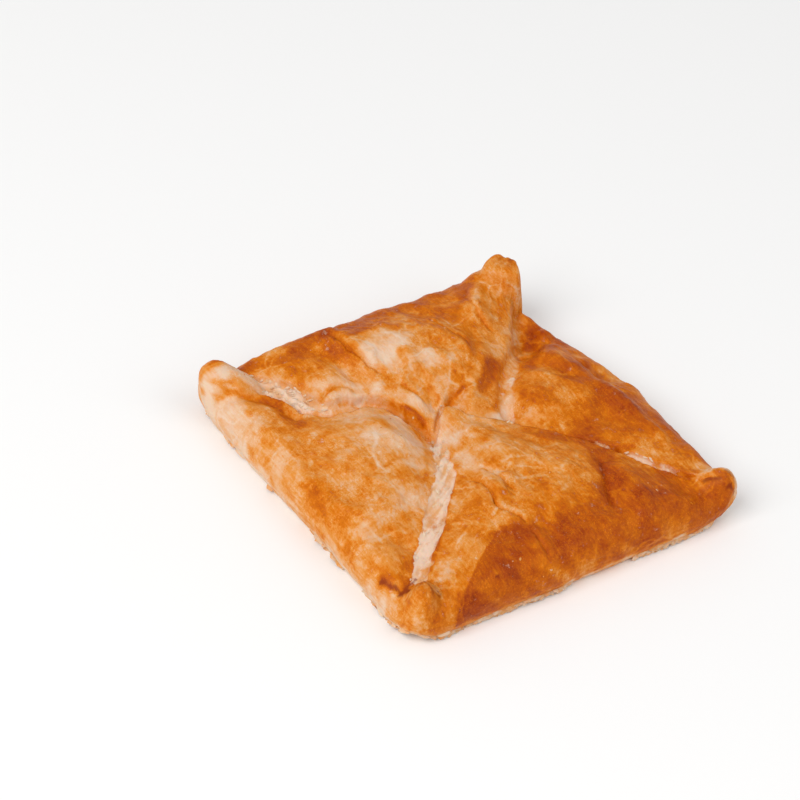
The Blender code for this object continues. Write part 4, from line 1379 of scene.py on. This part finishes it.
# %% The scattering group
SETTINGS = {
    "Where": "NodeSocketString",
    "Points per square metre": "NodeSocketFloat",
    "Seed": "NodeSocketInt",
    "Smallest": "NodeSocketVector",
    "Largest": "NodeSocketVector",
    "Least turn": "NodeSocketVector",
    "Most turn": "NodeSocketVector",
    "Lift": "NodeSocketFloat",
    "Palest": "NodeSocketFloat",
    "Brownest": "NodeSocketFloat",
    "Shapes": "NodeSocketCollection",
    "Material": "NodeSocketMaterial",
}


def scattering_group():
    """The node group. Sizes are in metres, turns in radians about the seam's direction, across it and
    upright."""
    tree = bpy.data.node_groups.new("scatter_on_crust", "GeometryNodeTree")
    tree.interface.new_socket("Crust", in_out="INPUT", socket_type="NodeSocketGeometry")
    for name, kind in SETTINGS.items():
        tree.interface.new_socket(name, in_out="INPUT", socket_type=kind)
    tree.interface.new_socket("Pieces", in_out="OUTPUT", socket_type="NodeSocketGeometry")
    given = add(tree, "NodeGroupInput").outputs
    where = add(tree, "GeometryNodeInputNamedAttribute", {"Name": given["Where"]}, data_type="FLOAT")
    painted = {0: where, 1: given["Points per square metre"]}
    density = add(tree, "ShaderNodeMath", painted, operation="MULTIPLY")
    drop = {"Mesh": given["Crust"], "Density": density, "Seed": given["Seed"]}
    dropped = add(tree, "GeometryNodeDistributePointsOnFaces", drop)
    along = add(tree, "GeometryNodeInputNamedAttribute", {"Name": "along"}, data_type="FLOAT_VECTOR")
    line_up = {"Rotation": dropped.outputs["Rotation"], "Vector": along}
    lined_up = add(tree, "FunctionNodeAlignRotationToVector", line_up, axis="X", pivot_axis="Z")
    chance = {0: given["Least turn"], 1: given["Most turn"], "Seed": given["Seed"]}
    tipped = add(tree, "FunctionNodeRandomValue", chance, data_type="FLOAT_VECTOR")
    tip = add(tree, "FunctionNodeEulerToRotation", {0: tipped})
    turned = add(tree, "FunctionNodeRotateRotation", {0: lined_up, 1: tip}, rotation_space="LOCAL")
    chance = {0: given["Smallest"], 1: given["Largest"], "Seed": given["Seed"]}
    size = add(tree, "FunctionNodeRandomValue", chance, data_type="FLOAT_VECTOR")
    rise = {0: dropped.outputs["Normal"], 3: given["Lift"]}
    step = add(tree, "ShaderNodeVectorMath", rise, operation="SCALE")
    lifted = add(tree, "GeometryNodeSetPosition", {"Geometry": dropped, "Offset": step})
    held = {"Collection": given["Shapes"], "Separate Children": True, "Reset Children": True}
    box = add(tree, "GeometryNodeCollectionInfo", held)
    place = {"Points": lifted, "Instance": box, "Pick Instance": True, "Rotation": turned, "Scale": size}
    placed = add(tree, "GeometryNodeInstanceOnPoints", place)
    chance = {2: given["Palest"], 3: given["Brownest"], "Seed": given["Seed"]}
    shade = add(tree, "FunctionNodeRandomValue", chance, data_type="FLOAT")
    bake = {"Geometry": placed, "Name": "toast", "Value": shade.outputs[1]}
    shaded = add(tree, "GeometryNodeStoreNamedAttribute", bake, data_type="FLOAT", domain="INSTANCE")
    real = add(tree, "GeometryNodeRealizeInstances", {0: shaded})
    finished = add(tree, "GeometryNodeSetMaterial", {"Geometry": real, "Material": given["Material"]})
    add(tree, "NodeGroupOutput", {"Pieces": finished})
    return tree


PRESSED = 0.3 * MM  # below this height a flake is pressed together, so that none pokes through the table


def scattered(name, values):
    """Runs the group on the pastry with these values and returns its result as a plain object."""
    carrier = bpy.data.objects.new(name, pastry_mesh)
    bpy.context.scene.collection.objects.link(carrier)
    modifier = carrier.modifiers.new("scatter", "NODES")
    modifier.node_group = scattering
    for item in scattering.interface.items_tree:
        if item.in_out == "INPUT" and item.name in values:
            modifier[item.identifier] = values[item.name]
    bpy.context.view_layer.update()
    mesh = bpy.data.meshes.new_from_object(carrier.evaluated_get(bpy.context.evaluated_depsgraph_get()))
    bpy.data.objects.remove(carrier)
    mesh.name = name
    places = np.empty(len(mesh.vertices) * 3, np.float32)
    mesh.vertices.foreach_get("co", places)
    height = places[2::3]
    places[2::3] = np.where(height < PRESSED, PRESSED * np.exp((height - PRESSED) / PRESSED), height)
    mesh.vertices.foreach_set("co", places)
    mesh.update()
    piece = bpy.data.objects.new(name, mesh)
    bpy.context.scene.collection.objects.link(piece)
    print(name + ":", sum(len(p.vertices) - 2 for p in mesh.polygons), "triangles")
    return piece


scattering = scattering_group()

# %% [markdown]
# ## Torn layers, frayed foot and loose scraps
#
# Along the cuts the plates stand on edge, so that they read as the layers of the dough. At the foot they
# lie flat and reach out from the wall. The scraps lie about on the crust any way round.

# %% The three scattered pieces
SCATTERED = {
    "khachapuri_layers": {
        "Where": "torn",
        "Points per square metre": 1.1e6,
        "Seed": 3,
        "Smallest": (0.6 * MM, 0.4 * MM, 0.12 * MM),
        "Largest": (2.2 * MM, 1.1 * MM, 0.22 * MM),
        "Least turn": (0.0, -0.3, -0.7),
        "Most turn": (1.0, 0.3, 0.7),
        "Lift": 0.05 * MM,
        "Palest": -0.10,
        "Brownest": 0.18,
        "Shapes": plates,
    },
    "khachapuri_foot": {
        "Where": "foot",
        "Points per square metre": 1.1e6,
        "Seed": 5,
        "Smallest": (1.2 * MM, 0.8 * MM, 0.20 * MM),
        "Largest": (4.6 * MM, 2.4 * MM, 0.50 * MM),
        "Least turn": (-1.7, -0.15, -0.3),
        "Most turn": (-1.0, 0.15, 0.3),
        "Lift": 0.1 * MM,
        "Palest": -0.08,
        "Brownest": 0.30,
        "Shapes": plates,
    },
    "khachapuri_scraps": {
        "Where": "loose",
        "Points per square metre": 5000.0,
        "Seed": 7,
        "Smallest": (0.3 * MM, 0.25 * MM, 0.08 * MM),
        "Largest": (1.2 * MM, 0.8 * MM, 0.22 * MM),
        "Least turn": (-0.3, -0.3, -3.14),
        "Most turn": (0.3, 0.3, 3.14),
        "Lift": 0.08 * MM,
        "Palest": 0.15,
        "Brownest": 0.55,
        "Shapes": scraps,
    },
}
for name, values in SCATTERED.items():
    piece = scattered(name, values | {"Material": crust_material})
    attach(piece, "root")
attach(pastry, "root")
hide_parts("khachapuri")

# %% [markdown]
# ## Floor, light and camera
#
# A plain pale floor, one large soft light above and to the side of the camera, a weaker one opposite, and an
# even sky. The camera looks down at about forty degrees with the front corner turned towards it. It is rolled
# a little, as a camera is that is held by hand over a table.

# %% Stage
FLOOR_HALF = 1.5
corners = [(FLOOR_HALF * i, FLOOR_HALF * j, 0) for i, j in ((-1, -1), (1, -1), (1, 1), (-1, 1))]
floor_mesh = bpy.data.meshes.new("floor")
floor_mesh.from_pydata(corners, [], [(0, 1, 2, 3)])
floor = bpy.data.objects.new("floor", floor_mesh)
bpy.context.scene.collection.objects.link(floor)
floor_material, _, floor_shader, _ = new_material("white_table")
floor_shader.inputs["Base Color"].default_value = linear("FAFAFA")
floor_shader.inputs["Roughness"].default_value = 0.6
floor_mesh.materials.append(floor_material)


# %% Lights
AIM = Vector((0, 0, 0.01))


def softbox(name, place, size, power, colour):
    """A square light that faces the pastry."""
    light = bpy.data.lights.new(name, "AREA")
    light.size = size
    light.energy = power
    light.color = linear(colour)[:3]
    holder = bpy.data.objects.new(name, light)
    holder.location = place
    holder.rotation_euler = (AIM - Vector(place)).to_track_quat("-Z", "Y").to_euler()
    bpy.context.scene.collection.objects.link(holder)


softbox("key", (-1.45, -0.25, 1.55), size=1.4, power=28.0, colour="FFFEFC")
softbox("fill", (0.60, -1.00, 1.15), size=1.2, power=4.5, colour="FFFFFF")
SKY = 0.54
world = bpy.data.worlds.new("studio")
world.use_nodes = True
world.node_tree.nodes["Background"].inputs["Color"].default_value = linear("FFFFFF")
world.node_tree.nodes["Background"].inputs["Strength"].default_value = SKY
bpy.context.scene.world = world
bpy.context.scene.view_settings.view_transform = "Standard"

# %% Camera
AZIMUTH, ELEVATION, ROLL = math.radians(-39.0), math.radians(39.8), math.radians(7.5)
DISTANCE = 1.0
PIXELS_PER_METRE = 2946.0
PICTURE = 800
MIDDLE_OF_PASTRY = (460.8, 462.5)  # where the origin falls in the picture, in pixels
SENSOR = 36  # mm wide

ahead = Vector((-math.sin(AZIMUTH), math.cos(AZIMUTH), 0.0))
back = -math.cos(ELEVATION) * ahead + math.sin(ELEVATION) * Vector((0, 0, 1))
level = Vector((math.cos(AZIMUTH), math.sin(AZIMUTH), 0.0))
upright = back.cross(level)
right = math.cos(ROLL) * level + math.sin(ROLL) * upright
up = -math.sin(ROLL) * level + math.cos(ROLL) * upright
shift_right = (MIDDLE_OF_PASTRY[0] - PICTURE / 2) / PIXELS_PER_METRE
shift_down = (MIDDLE_OF_PASTRY[1] - PICTURE / 2) / PIXELS_PER_METRE
camera = bpy.data.objects.new("camera", bpy.data.cameras.new("camera"))
turn = Matrix([right, up, back]).transposed().to_4x4()
camera.matrix_world = Matrix.Translation(DISTANCE * back - shift_right * right + shift_down * up) @ turn
camera.data.sensor_width = SENSOR
camera.data.lens = SENSOR * PIXELS_PER_METRE * DISTANCE / PICTURE
camera.data.clip_end = 10
bpy.context.scene.collection.objects.link(camera)
bpy.context.scene.camera = camera
